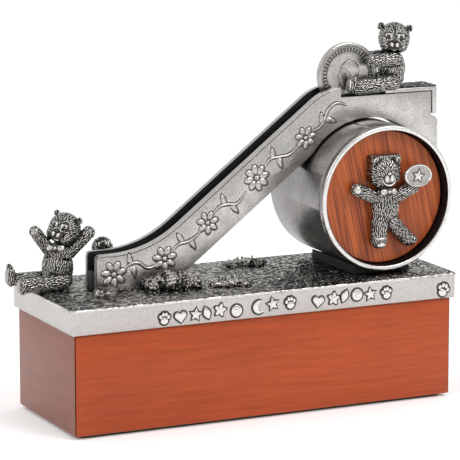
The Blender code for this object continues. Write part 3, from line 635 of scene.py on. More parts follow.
headOutline = [(-1.3, 5.3), (-2.8, 4.2), (-3.35, 2.8), (-3.3, 1.9), (-3.6, 1.2), (-4.35, 0.1), (-4.2, -0.25),
               (-3.55, -0.4), (-3.75, -0.95), (-3.5, -1.3), (-3.65, -1.8), (-3.2, -2.3), (-3.35, -3.0),
               (-2.7, -3.7), (-1.5, -3.75), (-0.7, -4.0), (-1.0, -5.6), (-2.6, -6.8), (0.6, -7.4), (3.9, -6.6),
               (2.6, -4.9), (2.4, -2.6), (3.5, -0.6), (4.1, 1.6), (3.6, 3.8), (2.1, 5.2), (0.3, 5.75)]
hairOutline = [(-1.5, 5.25), (-2.6, 4.3), (-2.2, 3.3), (-0.9, 2.6), (-0.2, 1.3), (0.4, 0.2), (1.3, -0.9),
               (2.2, -2.4), (3.6, -0.7), (4.35, 1.6), (3.8, 3.9), (2.2, 5.45), (0.3, 6.05)]


def portraitPlace(side):  # both heads face the same way, so one of them is mirrored
    x, z = coin["portrait"]
    face = Matrix.Translation(at(x, side * 0.5, z)) @ facing((0, side, 0)).to_4x4()
    return face @ Matrix.Diagonal((-side, 1, 1, 1))


def buildPortrait():
    bm = bmesh.new()
    for side in (-1, 1):
        place = portraitPlace(side)
        plate(bm, headOutline, place, 0.28, 0.14)
        plate(bm, hairOutline, place, 0.44, 0.14)
        for i in range(6):
            lock = tube([(-1.6 + 0.85 * i, 0, 4.6 - 0.1 * i), (-0.6 + 0.8 * i, 0, 3.4 - 0.3 * i),
                         (0.6 + 0.6 * i, 0, 1.6 - 0.4 * i)], 0.16, 0.8)
            bmesh.ops.transform(lock, matrix=Matrix.Rotation(math.radians(-90), 4, "X"), verts=lock.verts)
            lift = Matrix.Diagonal((1, -1, 1, 1)) @ Matrix.Translation((0, 0, 0.42 * mm))
            bmesh.ops.transform(lock, matrix=place @ lift, verts=lock.verts)
            absorb(bm, lock)
    bmesh.ops.recalc_face_normals(bm, faces=bm.faces)
    return bm


def buildCoinLines():  # dark ground between the dentils and round the head
    low, high = coin["half"] - coin["sunk"] - 0.04, coin["half"] - coin["sunk"] + 0.04
    bm = bmesh.new()
    for side in (-1, 1):
        for inner, outer in ((8.5, 10.3), (10.55, 10.75)):
            ring = [(inner, side * low), (inner, side * high), (outer, side * high), (outer, side * low)]
            absorb(bm, spun(ring, coin["centre"]))
        for outline in (headOutline, hairOutline):
            middle = Vector(outline[0]).lerp(Vector(outline[len(outline) // 2]), 0.5)
            grown = [Vector(p) + (Vector(p) - middle).normalized() * 0.24 for p in outline]
            plate(bm, grown, portraitPlace(side), 0.11, 0.02)
    bmesh.ops.recalc_face_normals(bm, faces=bm.faces)
    return bm


addPiece("coin_disc", buildCoin(), coinMetal, "coin", "coin_alloy", ["coin"], 50)
addPiece("coin_lines", buildCoinLines(), grooveMetal, "coin", "coin_alloy", [], 50)
addPiece("coin_portrait", buildPortrait(), coinMetal, "coin", "coin_alloy", [], 50)
print("coin done")

# pusher
pusher = {"edge": 0.25, "thumbFrom": 78, "footBelow": 104, "footDrop": 0.4, "turf": (69.4, 0, 113.0),
          "turfHalf": (10.55, 5.25, 0.42)}
bm = castCopy("pusher_sled", pusher["edge"])
for v in bm.verts:  # the thumb plate's foot comes down close to the tower's step
    if v.co.x > pusher["thumbFrom"] * mm and v.co.z < pusher["footBelow"] * mm:
        v.co.z -= pusher["footDrop"] * mm
addPiece("pusher_casting", bm, cheekPewter, "pusher", "satin_pewter", ["pusher_sled"])

# bears
bearStyle = {"voxel": 0.18, "smooth": 8, "tuft": 1.25, "tuftLength": 1.7, "hair": 0.72, "furDepth": 0.26}


def skinOf(forms, voxel=None, smoothing=None):  # overlapping forms become one soft skin
    bm = bmesh.new()
    for kind, *sizes in forms:
        if kind == "limb":
            rod(bm, *sizes)
        elif kind == "block":
            centre, half = sizes
            place = Matrix.Translation(Vector(centre) * mm) @ Matrix.Diagonal((*[2 * h * mm for h in half], 1))
            bmesh.ops.create_cube(bm, size=1, matrix=place)
        else:
            ball(bm, *sizes)
    skin = evaluated(meshOf(bm, "forms"), voxel or bearStyle["voxel"])
    for _ in range(smoothing or bearStyle["smooth"]):
        bmesh.ops.smooth_vert(skin, verts=skin.verts, factor=0.5, use_axis_x=True, use_axis_y=True,
                              use_axis_z=True)
    skin.normal_update()
    return skin


def furWay(forms, nose):  # fur runs along limbs, down the body, and outwards from the nose on the head
    def way(spot, normal):
        best, lie = 1e9, Vector((0, 0, -1))
        for kind, *sizes in forms:
            if kind == "limb":
                a, b = Vector(sizes[0]), Vector(sizes[1])
                share = max(0, min(1, (spot - a).dot(b - a) / (b - a).length_squared))
                away = (spot - a.lerp(b, share)).length / (sizes[2] + share * (sizes[3] - sizes[2]))
                along = b - a
            else:
                reach = spot - Vector(sizes[0])
                away = Vector([r / s for r, s in zip(reach, sizes[1])]).length
                along = spot - Vector(nose) if kind in ("head", "block") else Vector((0, 0, -1)) + reach * 0.03
            if away < best:
                best, lie = away, along
        return lie.normalized()
    return way


def furCoat(bm, forms, nose, seed, bare):  # bare: (spot, radius) left smooth for eyes, muzzle and pads
    def where(spot, normal):
        share = 1.0
        for place, radius in bare:
            away = (Vector(spot) - Vector(place)).length / radius
            share = min(share, max(0.0, (away - 0.75) / 0.35))
        return share
    comb(bm, bearStyle, furWay(forms, nose), seed, where)


def faceSpots(bear):  # places on the head, in head radii, and its turn
    front = Vector(bear["look"]).normalized()
    right = Vector(bear["up"]).cross(front).normalized()
    above = front.cross(right)

    def spot(across, rise, out):
        return Vector(bear["head"]) + (right * across + above * rise + front * out) * bear["size"]
    turn = Matrix((right, above, front)).transposed()
    return spot, turn


def bearFace(name, bear, body):
    radius, gap, rise = bear["size"], bear["eyeGap"], bear["eyeRise"]
    spot, turn = faceSpots(bear)
    shine, shade = bmesh.new(), bmesh.new()

    def bead(bm, place, *sizes):
        ball(bm, spot(*place), [radius * size for size in sizes], turn, 16, 10)
    for side in (-1, 1):
        out = math.sqrt(max(0.1, 1 - gap * gap - rise * rise)) - 0.02
        bead(shade, (side * gap, rise, out), 0.25, 0.22, 0.1)
        bead(shine, (side * gap, rise, out + 0.05), 0.17, 0.15, 0.09)
        bead(shade, (side * gap * 0.98, rise - 0.01, out + 0.1), 0.11, 0.115, 0.08)
        # a tiny bright bead in each pupil is a painted highlight
        bead(shine, (side * gap * 0.94, rise + 0.04, out + 0.19), 0.035, 0.035, 0.03)
        bead(shine, (side * gap * 0.52, rise - 0.02, out + 0.1), 0.09, 0.15, 0.06)
        bead(shade, (side * 0.19, -0.39, 1.0), 0.23, 0.24, 0.14)
        bead(shine, (side * 0.155, -0.38, 1.09), 0.12, 0.16, 0.12)
        cheek = [spot(side * 0.05, 0.02, 1.05), spot(side * 0.2, -0.06, 1.04), spot(side * 0.3, -0.16, 1.0)]
        absorb(shine, tube(cheek, radius * 0.04))
    bead(shade, (0, -0.13, 1.14), 0.14, 0.09, 0.09)
    bead(shade, (0, -0.36, 1.13), 0.035, 0.16, 0.06)
    chin = [spot(-0.2, -0.64, 0.76), spot(0, -0.72, 0.75), spot(0.2, -0.64, 0.76)]
    absorb(shine, tube(chin, radius * 0.06))
    seam = [(1.0, 0.15), (0.86, 0.55), (0.55, 0.86), (0.25, 1.0), (0.02, 1.08)]
    absorb(shade, tube([spot(0, *place) for place in seam], radius * 0.038))
    addPiece(name + "_face", shine, facePewter, body, "darkened_pewter", [], 60)
    addPiece(name + "_features", shade, hollowAndShadePewter, body, "darkened_pewter", [], 60)


def headForms(bear):
    radius, ear, (across, rise) = bear["size"], bear["ear"], bear["ears"]
    spot, turn = faceSpots(bear)
    forms = [("head", bear["head"], (radius, radius * 0.97, radius * 1.02)),
             ("head", spot(0, -0.34, 0.74), [radius * s for s in (0.38, 0.34, 0.34)], turn)]
    forms += [("head", spot(side * 0.45, -0.42, 0.45), [radius * 0.42] * 3) for side in (-1, 1)]
    forms += [("ear", spot(side * across, rise, 0.05), [radius * s for s in (ear, ear, ear * 0.7)], turn)
              for side in (-1, 1)]
    return forms


def facePresses(bm, bear):
    radius = bear["size"]
    spot = faceSpots(bear)[0]
    for side in (-1, 1):
        press(bm, spot(side * bear["eyeGap"], bear["eyeRise"], 0.9), radius * 0.36, radius * 0.1)
        press(bm, spot(side * bear["ears"][0], bear["ears"][1], 0.3), radius * 0.26, radius * 0.12)


def faceBare(bear):  # spots that the fur leaves smooth
    spot = faceSpots(bear)[0]
    eyes = [(spot(side * bear["eyeGap"], bear["eyeRise"], 0.9), 1.4) for side in (-1, 1)]
    return eyes + [(spot(0, -0.38, 1.05), 1.6)]


def bowTie(name, centre, look, size, body, lean=0.0):
    front = Vector(look).normalized()
    turn = facing(front) @ Matrix.Rotation(lean, 3, "Z")
    bm, foldsAndShade = bmesh.new(), bmesh.new()
    for side in (-1, 1):
        away = turn @ Vector((side * size * 0.56, 0, 0))
        flare = turn @ Matrix.Rotation(side * 0.28, 3, "Y")
        lobe = ball(bm, Vector(centre) + away, (size * 0.4, size * 0.38, size * 0.2), flare, 18, 12)
        for v in lobe:  # lobes narrow towards the knot
            inward = (v.co / mm - Vector(centre)).dot(turn @ Vector((side, 0, 0))) / size
            middle = Vector(centre) * mm
            rise = (v.co - middle).dot(turn @ Vector((0, 1, 0)))
            v.co -= turn @ Vector((0, 1, 0)) * rise * max(0, 0.75 - inward) * 0.8
        for lift in (-0.12, 0.12):
            fold = [Vector((side * share, lift * share * 1.6, 0.22 - 0.06 * share))
                    for share in (0.2, 0.45, 0.72)]
            fold = [Vector(centre) + turn @ (spot * size) for spot in fold]
            absorb(foldsAndShade, tube(fold, size * 0.035))
    # a dark sheet behind the lobes is painted shade round and between them
    ball(foldsAndShade, Vector(centre) - front * size * 0.08, (size * 1.02, size * 0.4, size * 0.14), turn, 18, 10)
    ball(bm, Vector(centre) + front * size * 0.08, (size * 0.17, size * 0.2, size * 0.2), turn, 14, 10)
    addPiece(name + "_bow", bm, facePewter, body, "darkened_pewter", [], 60)
    addPiece(name + "_bow_folds_and_shade", foldsAndShade, hollowAndShadePewter, body, "darkened_pewter", [], 60)


def padPiece(name, pads, body, finish=None):  # smooth paw and foot pads: (centre, radii, direction)
    bm = bmesh.new()
    for centre, radii, look in pads:
        ball(bm, centre, radii, facing(look), 18, 10)
    addPiece(name + "_pads", bm, finish or facePewter, body, "darkened_pewter", [], 60)


# riding bear, holding the coin on edge between its paws
rider = {"head": (64.8, 0, 131.2), "size": 5.95, "look": (-0.42, -0.89, 0.095), "up": (0.085, 0, 1), "seed": 11,
         "eyeGap": 0.43, "eyeRise": 0.18, "ears": (0.88, 0.68), "ear": 0.25}
riderForms = headForms(rider)
riderForms += [("body", (63.8, 0, 120.2), (5.3, 4.7, 6.8)), ("body", (63.6, 0, 116.8), (5.0, 4.7, 3.8)),
               ("limb", (63.4, -4.4, 124.2), (53.6, -4.0, 123.7), 2.5, 2.4),
               ("limb", (63.4, 4.4, 124.2), (53.6, 4.0, 123.7), 2.5, 2.4),
               ("limb", (61.6, -4.7, 115.3), (47.4, -4.8, 114.6), 2.9, 2.75),
               ("limb", (61.6, 4.7, 115.3), (47.4, 4.8, 114.6), 2.9, 2.75),
               ("body", (45.2, -4.9, 115.7), (1.9, 2.8, 3.4)), ("body", (45.2, 4.9, 115.7), (1.9, 2.8, 3.4))]


def cutFlat(bm, spot, way):  # keeps what lies on the side that way points to, and closes the cut
    bmesh.ops.bisect_plane(bm, geom=bm.verts[:] + bm.edges[:] + bm.faces[:], dist=0.001 * mm,
                           plane_co=Vector(spot) * mm, plane_no=way, clear_inner=True)
    rim = [e for e in bm.edges if e.is_boundary]
    if rim:
        bmesh.ops.triangle_fill(bm, edges=rim, use_beauty=True)
    bmesh.ops.recalc_face_normals(bm, faces=bm.faces)


def settle(bm, floor):  # flattens whatever sinks below a support, given as a height at each spot
    for v in bm.verts:
        level = floor(v.co / mm) * mm
        if v.co.z < level:
            v.co.z = level


def buildRider():
    bm = skinOf(riderForms)
    facePresses(bm, rider)
    bare = faceBare(rider) + [((43.4, y, 115.6), 2.2) for y in (-4.9, 4.9)]
    furCoat(bm, riderForms, faceSpots(rider)[0](0, -0.2, 1.1), rider["seed"], bare)
    for v in bm.verts:  # keeps the paws and feet off the coin
        if v.co.x < 57.9 * mm and abs(v.co.y) < 1.2 * mm:
            v.co.y = math.copysign(1.2 * mm, v.co.y)
    settle(bm, lambda p: 113.4 if p.x > 58.2 else 111.7)
    return bm


addPiece("rider_fur", buildRider(), furPewter, "pusher", "darkened_pewter", ["rider_bear"], 70)
bearFace("rider", rider, "pusher")
padPiece("rider", [((43.5, y, 115.6), (1.9, 2.5, 0.5), (-1, 0, 0.1)) for y in (-4.9, 4.9)], "pusher")
print("riding bear done")

# reclining bear at the foot of the slide, arms up, legs over the end of the deck
idler = {"head": (-64.2, 8.0, 68.7), "size": 5.95, "look": (-0.69, -0.69, 0.215), "up": (0.384, 0.016, 0.923),
         "seed": 23, "eyeGap": 0.35, "eyeRise": 0.22, "ears": (0.76, 0.78), "ear": 0.22}
idlerForms = headForms(idler)
idlerForms += [("body", (-66.3, 10.0, 54.6), (5.8, 5.5, 7.6)), ("body", (-66.0, 9.2, 59.6), (4.6, 4.4, 4.6)),
               ("limb", (-69.2, 9.2, 60.6), (-76.1, 7.0, 69.0), 2.45, 2.1),
               ("limb", (-63.8, 6.6, 60.2), (-55.9, 5.6, 67.2), 2.7, 2.35),
               ("limb", (-65.0, 6.2, 50.2), (-81.2, 3.2, 50.2), 2.8, 2.5),
               ("limb", (-67.5, 13.4, 50.2), (-80.2, 15.2, 50.3), 2.8, 2.4),
               ("body", (-82.6, 2.9, 50.2), (1.6, 2.5, 3.1)), ("body", (-82.3, 15.3, 51.7), (1.7, 2.6, 4.0)),
               ("limb", (-82.2, 15.3, 52.4), (-82.9, 15.3, 55.4), 1.7, 1.0)]


def buildIdler():
    bm = skinOf(idlerForms)
    facePresses(bm, idler)
    bare = faceBare(idler) + [((-76.6, 5.0, 69.4), 1.4), ((-84.2, 3.0, 50.4), 1.8), ((-83.9, 15.3, 52.0), 2.2)]
    furCoat(bm, idlerForms, faceSpots(idler)[0](0, -0.2, 1.1), idler["seed"], bare)
    settle(bm, lambda p: 47.2)
    return bm


addPiece("idler_fur", buildIdler(), furPewter, "bank", "darkened_pewter", ["reclining_bear"], 70)
bearFace("idler", idler, "bank")
bowTie("idler", (-69.3, 4.6, 62.8), (-0.55, -0.8, 0.1), 3.6, "bank", -0.03)
padPiece("idler", [((-76.8, 5.1, 69.3), (1.2, 1.2, 0.5), (-0.3, -0.95, 0.1)),
                   ((-84.1, 2.9, 50.3), (1.8, 2.3, 0.4), (-1, 0, 0.05)),
                   ((-83.8, 15.3, 51.8), (1.8, 2.9, 0.4), (-1, 0, 0.05))], "bank", padPewter)
print("reclining bear done")

# bear on the drum's disc, holding up a round sign
emblem = {"nose": (50.8, -23.6, 83.0), "seed": 37}
emblemForms = [("block", (50.6, -19.0, 86.6), (5.9, 2.3, 4.9)), ("head", (50.6, -19.6, 85.0), (6.3, 3.7, 6.2)),
               ("ear", (46.0, -21.0, 89.9), (1.5, 1.4, 1.4)), ("ear", (55.3, -20.9, 89.8), (1.3, 1.3, 1.2)),
               ("head", (50.7, -22.2, 83.0), (2.9, 1.7, 2.3)),
               ("body", (51.1, -19.5, 72.0), (5.6, 3.0, 7.6)), ("body", (51.1, -19.4, 76.2), (5.2, 2.7, 3.6)),
               ("limb", (46.8, -19.4, 75.9), (39.4, -19.4, 79.3), 2.45, 2.45),
               ("limb", (55.4, -19.4, 75.6), (62.4, -19.6, 78.6), 2.5, 2.4),
               ("limb", (48.8, -19.5, 66.5), (48.6, -19.5, 59.8), 3.3, 3.0),
               ("limb", (53.9, -19.4, 66.3), (60.4, -19.4, 59.6), 3.0, 2.7),
               ("body", (61.2, -19.8, 59.2), (2.9, 2.6, 2.2))]


def buildEmblem():
    bm = skinOf(emblemForms, 0.2, 14)
    furCoat(bm, emblemForms, emblem["nose"], emblem["seed"],
            [((50.7, -23.8, 83.0), 2.3), ((38.9, -21.6, 79.5), 1.5), ((48.4, -22.0, 58.4), 1.8)])
    cutFlat(bm, (0, -17.25, 0), (0, -1, 0))
    return bm


addPiece("emblem_fur", buildEmblem(), furPewter, "bank", "darkened_pewter", ["emblem_bear"], 70)


def buildEmblemFace():
    shine, shade = bmesh.new(), bmesh.new()
    turn = facing((0, -1, -0.1))
    ball(shade, (50.7, -23.1, 83.1), (2.7, 2.1, 0.7), turn, 20, 12)
    for side in (-1, 1):
        ball(shine, (50.7 + side * 1.08, -23.75, 83.2), (0.9, 1.4, 0.5), turn, 16, 10)
        ball(shade, (50.2 + side * 2.7, -22.9, 86.4), (0.75, 0.65, 0.4), turn, 12, 8)
        # a small bright bead in each eye is a painted highlight
        ball(shine, (50.05 + side * 2.7, -23.2, 86.6), (0.3, 0.3, 0.2), turn, 10, 6)
    ball(shine, (50.7, -23.7, 85.1), (0.8, 0.5, 0.4), turn, 14, 10)
    smile = [(48.0, -23.1, 83.3), (48.4, -23.5, 81.9), (49.6, -23.7, 81.0), (50.7, -23.75, 80.8),
             (51.8, -23.7, 81.0), (53.0, -23.5, 81.9), (53.4, -23.1, 83.3)]
    absorb(shine, tube(smile, 0.3))
    for x, z in ((45.9, 89.8), (55.3, 89.7)):
        ear = [(x - 0.9, -22.0, z - 0.9), (x - 0.9, -22.3, z + 0.3), (x - 0.1, -22.3, z + 0.9),
               (x + 0.8, -22.0, z + 0.7)]
        absorb(shine, tube(ear, 0.28))
    addPiece("emblem_face", shine, facePewter, "bank", "darkened_pewter", [], 60)
    addPiece("emblem_features", shade, hollowAndShadePewter, "bank", "darkened_pewter", [], 60)


buildEmblemFace()
bowTie("emblem", (50.9, -22.9, 78.3), (0.02, -1, 0.05), 3.5, "bank")
padPiece("emblem", [((38.8, -21.65, 79.5), (1.35, 1.35, 0.5), (0, -1, 0)),
                    ((48.4, -22.0, 58.3), (1.9, 1.3, 0.7), (0, -0.8, -0.6)),
                    ((48.4, -21.3, 60.9), (2.6, 0.7, 1.4), (0, -1, 0))], "bank")
sign = {"x": 63.1, "z": 83.3, "wide": 5.6, "tall": 4.25, "starTilt": -0.2}


def buildSign():
    profile = [(0, 0.45), (0.84, 0.45), (0.88, 0.05), (0.96, 0.0), (1, 0.2), (1, 1.3), (0, 1.3)]
    bm = spun(profile, (0, 0, 0), 72)
    for face in bm.faces:  # the face inside the raised rim is duller
        middle = face.calc_center_median() / mm
        face.material_index = int(math.hypot(middle.x, middle.z) < 0.82)
    bmesh.ops.transform(bm, verts=bm.verts, matrix=Matrix.Translation(at(sign["x"], -23.1, sign["z"]))
                        @ Matrix.Diagonal((sign["wide"], 1, sign["tall"], 1)))
    return bm


def starOutline(outer, inner, points=5):
    spokes = [(inner if i % 2 else outer, math.radians(90 + 180 * i / points)) for i in range(2 * points)]
    return [(reach * math.cos(a), reach * math.sin(a)) for reach, a in spokes]


addPiece("sign_disc", buildSign(), brightPewter, "bank", "satin_pewter", ["emblem_coin_sign"], 50, [padPewter])
for name, material, outer, inner, thick in (("sign_star", facePewter, 2.35, 1.0, 0.45),
                                            ("sign_star_line", hollowAndShadePewter, 3.1, 1.6, 0.12)):
    bm = bmesh.new()
    place = Matrix.Translation(at(sign["x"], -22.6, sign["z"] - 0.1)) @ facing((0, -1, 0)).to_4x4()
    plate(bm, starOutline(outer, inner), place @ Matrix.Rotation(sign["starTilt"], 4, "Z"), thick, thick / 3)
    addPiece(name, bm, material, "bank", "darkened_pewter", [], 50)
print("emblem bear done")

# turf on the pusher, shrub behind the slide
bm = skinOf([("block", pusher["turf"], pusher["turfHalf"])], 0.27, 2)
strokes(bm, 300, 3.0, 1.0, 0.7, lambda spot, normal: (math.cos(spot.x / 2), math.sin(spot.x / 2), 0), 8,
        lambda spot, normal: 1.0 if normal[2] > 0.3 else 0.35, 0.6)
# the pusher's turf is darker: painted shade of the riding bear's shadow
addPiece("pusher_turf", bm, shadedTurf, "pusher", "turf_pewter", [], 70)

shrub = {"at": (-48.4, 10.9), "balls": ((52.4, (4.4, 4.2, 6.6)), (60.0, (3.75, 3.5, 4.0))), "strokes": 420,
         "foot": 47.1, "seed": 9}
bm = skinOf([("body", (*shrub["at"], z), radii) for z, radii in shrub["balls"]], 0.3, 4)
strokes(bm, shrub["strokes"], 2.2, 0.85, 0.85, lambda spot, normal: (0.2, 0.1, 1), shrub["seed"], None, 0.5)
settle(bm, lambda p: shrub["foot"])
addPiece("shrub_leaves", bm, turfPewter, "bank", "turf_pewter", ["rear_shrub"], 70)


# planting
def leaf(bm, root, way, up, length, width, thick=0.3):
    along = Vector(way).normalized()
    lie = Vector(up) - along * Vector(up).dot(along)
    turn = Matrix((along, lie.normalized().cross(along), lie.normalized())).transposed()
    blade = ball(bm, Vector(root) + along * length / 2, (length / 2, width / 2, thick), turn, 8, 6)
    for v in blade:  # pointed at the tip
        share = (v.co / mm - Vector(root)).dot(along) / length
        side = v.co / mm - Vector(root) - along * share * length
        v.co = (Vector(root) + along * share * length + side * (1.15 - 0.75 * share)) * mm


def bloom(bm, centre, look, radius, start):  # five petals round a bud
    turn = facing(look)
    for i in range(5):
        a = start + 2 * math.pi * i / 5
        way = turn @ Vector((math.cos(a), math.sin(a), 0.12))
        lie = Matrix((way, turn.col[2].cross(way), turn.col[2])).transposed()
        ball(bm, centre + way * radius * 0.58, (radius * 0.44, radius * 0.3, radius * 0.17), lie, 8, 6)
    ball(bm, centre + turn.col[2] * radius * 0.12, (radius * 0.26, radius * 0.26, radius * 0.22), turn, 8, 6)


plantings = {
    "flower_bush": {
        "balls": [((-38.0, -10.6, 48.6), (4.0, 4.4, 4.0)), ((-32.4, -10.4, 49.6), (4.6, 4.4, 4.4)),
                  ((-26.4, -10.6, 49.0), (4.4, 4.4, 4.2)), ((-21.6, -11.0, 48.2), (3.0, 3.4, 2.8))],
        "blooms": 24, "leaves": 60, "bloomSize": 1.75, "leafSize": 2.6, "seed": 3},
    "mouth_blooms": {
        "balls": [((-58.6, -10.0, 47.9), (2.5, 2.4, 2.0)), ((-54.4, -10.6, 47.9), (2.5, 2.4, 1.8))],
        "blooms": 5, "leaves": 12, "bloomSize": 1.5, "leafSize": 2.0, "seed": 4},
    "front_leaf_clump": {
        "balls": [((-13.2, -12.0, 47.8), (3.6, 2.8, 1.7)), ((-8.6, -13.6, 48.0), (4.2, 3.2, 2.0)),
                  ((-4.2, -15.0, 47.7), (3.2, 2.6, 1.5))],
        "blooms": 0, "leaves": 34, "leafSize": 3.2, "seed": 6},
    "back_leaf_clump": {
        "balls": [((7.0, 17.0, 47.8), (3.8, 3.0, 1.9)), ((12.0, 16.2, 48.0), (4.2, 3.4, 2.3)),
                  ((16.4, 15.0, 47.7), (3.0, 2.6, 1.6))],
        "blooms": 0, "leaves": 34, "leafSize": 3.2, "seed": 7},
}


def plantUp(name, style):
    dice = random.Random(style["seed"])
    forms = [("body", centre, [r * 0.86 for r in radii]) for centre, radii in style["balls"]]
    mound = skinOf(forms, 0.33, 3)
    strokes(mound, 260, 2.0, 0.9, 0.4, lambda spot, normal: (0, 0.2, 1), style["seed"], None, 0.8)
    settle(mound, lambda p: 47.0)
    addPiece(name + "_mound", mound, turfPewter, "bank", "turf_pewter", [name], 70)
    tops = bmesh.new()

    def place():
        centre, radii = dice.choice(style["balls"])
        look = Vector((dice.uniform(-1, 1), dice.uniform(-1, 0.8), dice.uniform(0.15, 1))).normalized()
        spot = Vector(centre) + Vector([l * r for l, r in zip(look, radii)]) * 0.9
        spot.z = max(spot.z, 47.6)
        return spot, look
    for _ in range(style["leaves"]):
        spot, look = place()
        stray = Vector((dice.uniform(-1, 1), dice.uniform(-1, 1), dice.uniform(-0.3, 0.6)))
        way = (look * 0.45 + stray).normalized()
        size = style["leafSize"] * dice.uniform(0.75, 1.1)
        way.z = max(way.z, -0.1)
        leaf(tops, spot - way * size * 0.4, way, look, size, size * 0.5)
    for _ in range(style["blooms"]):
        spot, look = place()
        bloom(tops, spot + look * 0.35, look, style["bloomSize"] * dice.uniform(0.8, 1.1), dice.uniform(0, 1))
    for v in tops.verts:
        v.co.z = max(v.co.z, 47.05 * mm)
    finish = bloomPewter if name == "mouth_blooms" else leafPewter
    addPiece(name + "_sprays", tops, finish, "bank", "turf_pewter", [], 60)


for name, style in plantings.items():
    plantUp(name, style)
print("planting done")

# vine raised on the cheeks
vine = {
    "flowers": [((-50.9, 53.3), 5.2, 7), ((-31.0, 57.3), 4.9, 7), ((-13.9, 69.1), 4.5, 7),
                ((5.8, 84.1), 5.2, 8), ((25.6, 97.4), 4.4, 7)],
    "stems": [[(-47.6, 54.2), (-44.6, 56.6), (-41.6, 56.9), (-37.6, 54.6), (-34.2, 55.4)],
              [(-28.4, 59.4), (-25.4, 62.2), (-22.0, 62.9), (-18.8, 64.4), (-16.4, 67.0)],
              [(-11.8, 71.8), (-9.4, 74.6), (-6.2, 75.3), (-2.6, 75.2), (1.6, 79.6)],
              [(9.0, 88.0), (11.2, 90.6), (15.0, 91.2), (19.0, 91.8), (22.6, 94.6)],
              [(28.2, 99.6), (31.6, 101.2), (33.4, 104.0), (34.8, 107.2), (38.2, 109.4), (42.4, 108.4)]],
    "leaves": [((-44.3, 56.2), 100), ((-43.4, 55.8), -80), ((-23.6, 62.6), 125), ((-21.0, 63.6), -60),
               ((-6.9, 75.0), 110), ((-4.5, 75.1), -50), ((12.6, 90.4), 100), ((14.6, 91.0), -70),
               ((32.6, 102.0), 100), ((33.8, 104.0), -20)],
    "leafLength": 4.4, "leafWidth": 2.7, "stem": 0.56, "height": 0.6, "face": -5.4, "shadeLineGrow": 0.32,
    "shadeLineHeight": 0.1,
}


def buildVine(grow, thick):
    y = vine["face"]
    bm = bmesh.new()
    for (x, z), radius, petals in vine["flowers"]:
        for i in range(petals):
            a = 2 * math.pi * (i + 0.3) / petals
            turn = Matrix.Rotation(-a, 3, "Y")
            spot = (x + 0.6 * radius * math.cos(a), y, z + 0.6 * radius * math.sin(a))
            ball(bm, spot, (radius * 0.38 + grow, thick, radius * 0.24 + grow), turn, 14, 10)
        ball(bm, (x, y, z), (radius * 0.2 + grow, thick * 1.15, radius * 0.2 + grow), None, 14, 10)
    for points in vine["stems"]:
        stem = vine["stem"] + grow
        absorb(bm, tube([(x, y, z) for x, z in points], stem, thick / stem, 0.5))
    for (x, z), degrees in vine["leaves"]:
        a = math.radians(degrees)
        leaf(bm, (x, y, z), (math.cos(a), 0, math.sin(a)), (0, -1, 0), vine["leafLength"] + 2 * grow,
             vine["leafWidth"] + 2 * grow, thick)
    return bm


edgeStyle = {"inset": 0.85, "radius": 0.17, "until": 37}


def edgeLine(node, side):  # a fine dark line just inside a cheek's upper edge
    inset = edgeStyle["inset"]
    shell = welded(node)
    outer = max(side * v.co.y for v in shell.verts)
    spots = {}
    for edge in shell.edges:
        if any(abs(side * v.co.y - outer) > 0.02 * mm or v.co.x > edgeStyle["until"] * mm for v in edge.verts):
            continue
        for face in edge.link_faces:
            if face.normal.z > 0.3 and abs(face.normal.y) < 0.3:
                for v in edge.verts:
                    spots[round(v.co.x / mm, 1)] = (v.co.x / mm - face.normal.x * inset, side * outer / mm,
                                                    v.co.z / mm - face.normal.z * inset)
    shell.free()
    line = [spots[x] for x in sorted(spots)]
    kept = [spot for i, spot in enumerate(line) if i == 0 or spot[0] - line[i - 1][0] > 0.3]
    return tube(kept, edgeStyle["radius"], 0.5, 0.8)


for node, side in (("near_cheek", -1), ("far_cheek", 1)):
    addPiece(node + "_edge_line", edgeLine(node, side), hollowAndShadePewter, "bank", "satin_pewter", [], 60)
for side, name in ((1, "near"), (-1, "far")):
    # the dark halo under the vine is patina and painted shade at the foot of the relief
    for grow, thick, material, label in ((0.0, vine["height"], cheekPewter, "vine"),
                                         (vine["shadeLineGrow"], vine["shadeLineHeight"], hollowAndShadePewter, "vine_shade_line")):
        bm = buildVine(grow, thick)
        if side < 0:
            bmesh.ops.scale(bm, vec=(1, -1, 1), verts=bm.verts)
            bmesh.ops.recalc_face_normals(bm, faces=bm.faces)
        addPiece(f"{name}_{label}", bm, material, "bank", "satin_pewter", [], 60)
print("vine done")


# motifs along the deck's front edge
def angles(steps):
    return np.linspace(0, 2 * math.pi, steps, endpoint=False)


def heartOutline(size):
    rises = [13 * math.cos(t) - 5 * math.cos(2 * t) - 2 * math.cos(3 * t) - math.cos(4 * t) for t in angles(28)]
    return [(size * 16 * math.sin(t) ** 3 / 17, size * rise / 17) for t, rise in zip(angles(28), rises)][::-1]


def petalOutline(size, petals, depth):
    reaches = [size * (1 + depth * math.cos(petals * t)) / (1 + depth) for t in angles(8 * petals)]
    return [(reach * math.cos(t), reach * math.sin(t)) for t, reach in zip(angles(8 * petals), reaches)]


def ovalOutline(x, y, a, b, steps=16):
    return [(x + a * math.cos(t), y + b * math.sin(t)) for t in angles(steps)]


def leafOutline(size):
    return [(size * 0.55 * math.sin(math.pi * s) * side, size * (2 * s - 1))
            for side, run in ((1, np.linspace(0, 1, 9)), (-1, np.linspace(1, 0, 9)[1:-1])) for s in run]


def moonOutline(size):
    outer = [(size * math.cos(t), size * math.sin(t)) for t in np.linspace(0.9, 2 * math.pi - 0.9, 16)]
    inner = [(size * (0.45 + 0.66 * math.cos(t)), size * 0.78 * math.sin(t))
             for t in np.linspace(2 * math.pi - 1.5, 1.5, 12)]
    return outer + inner


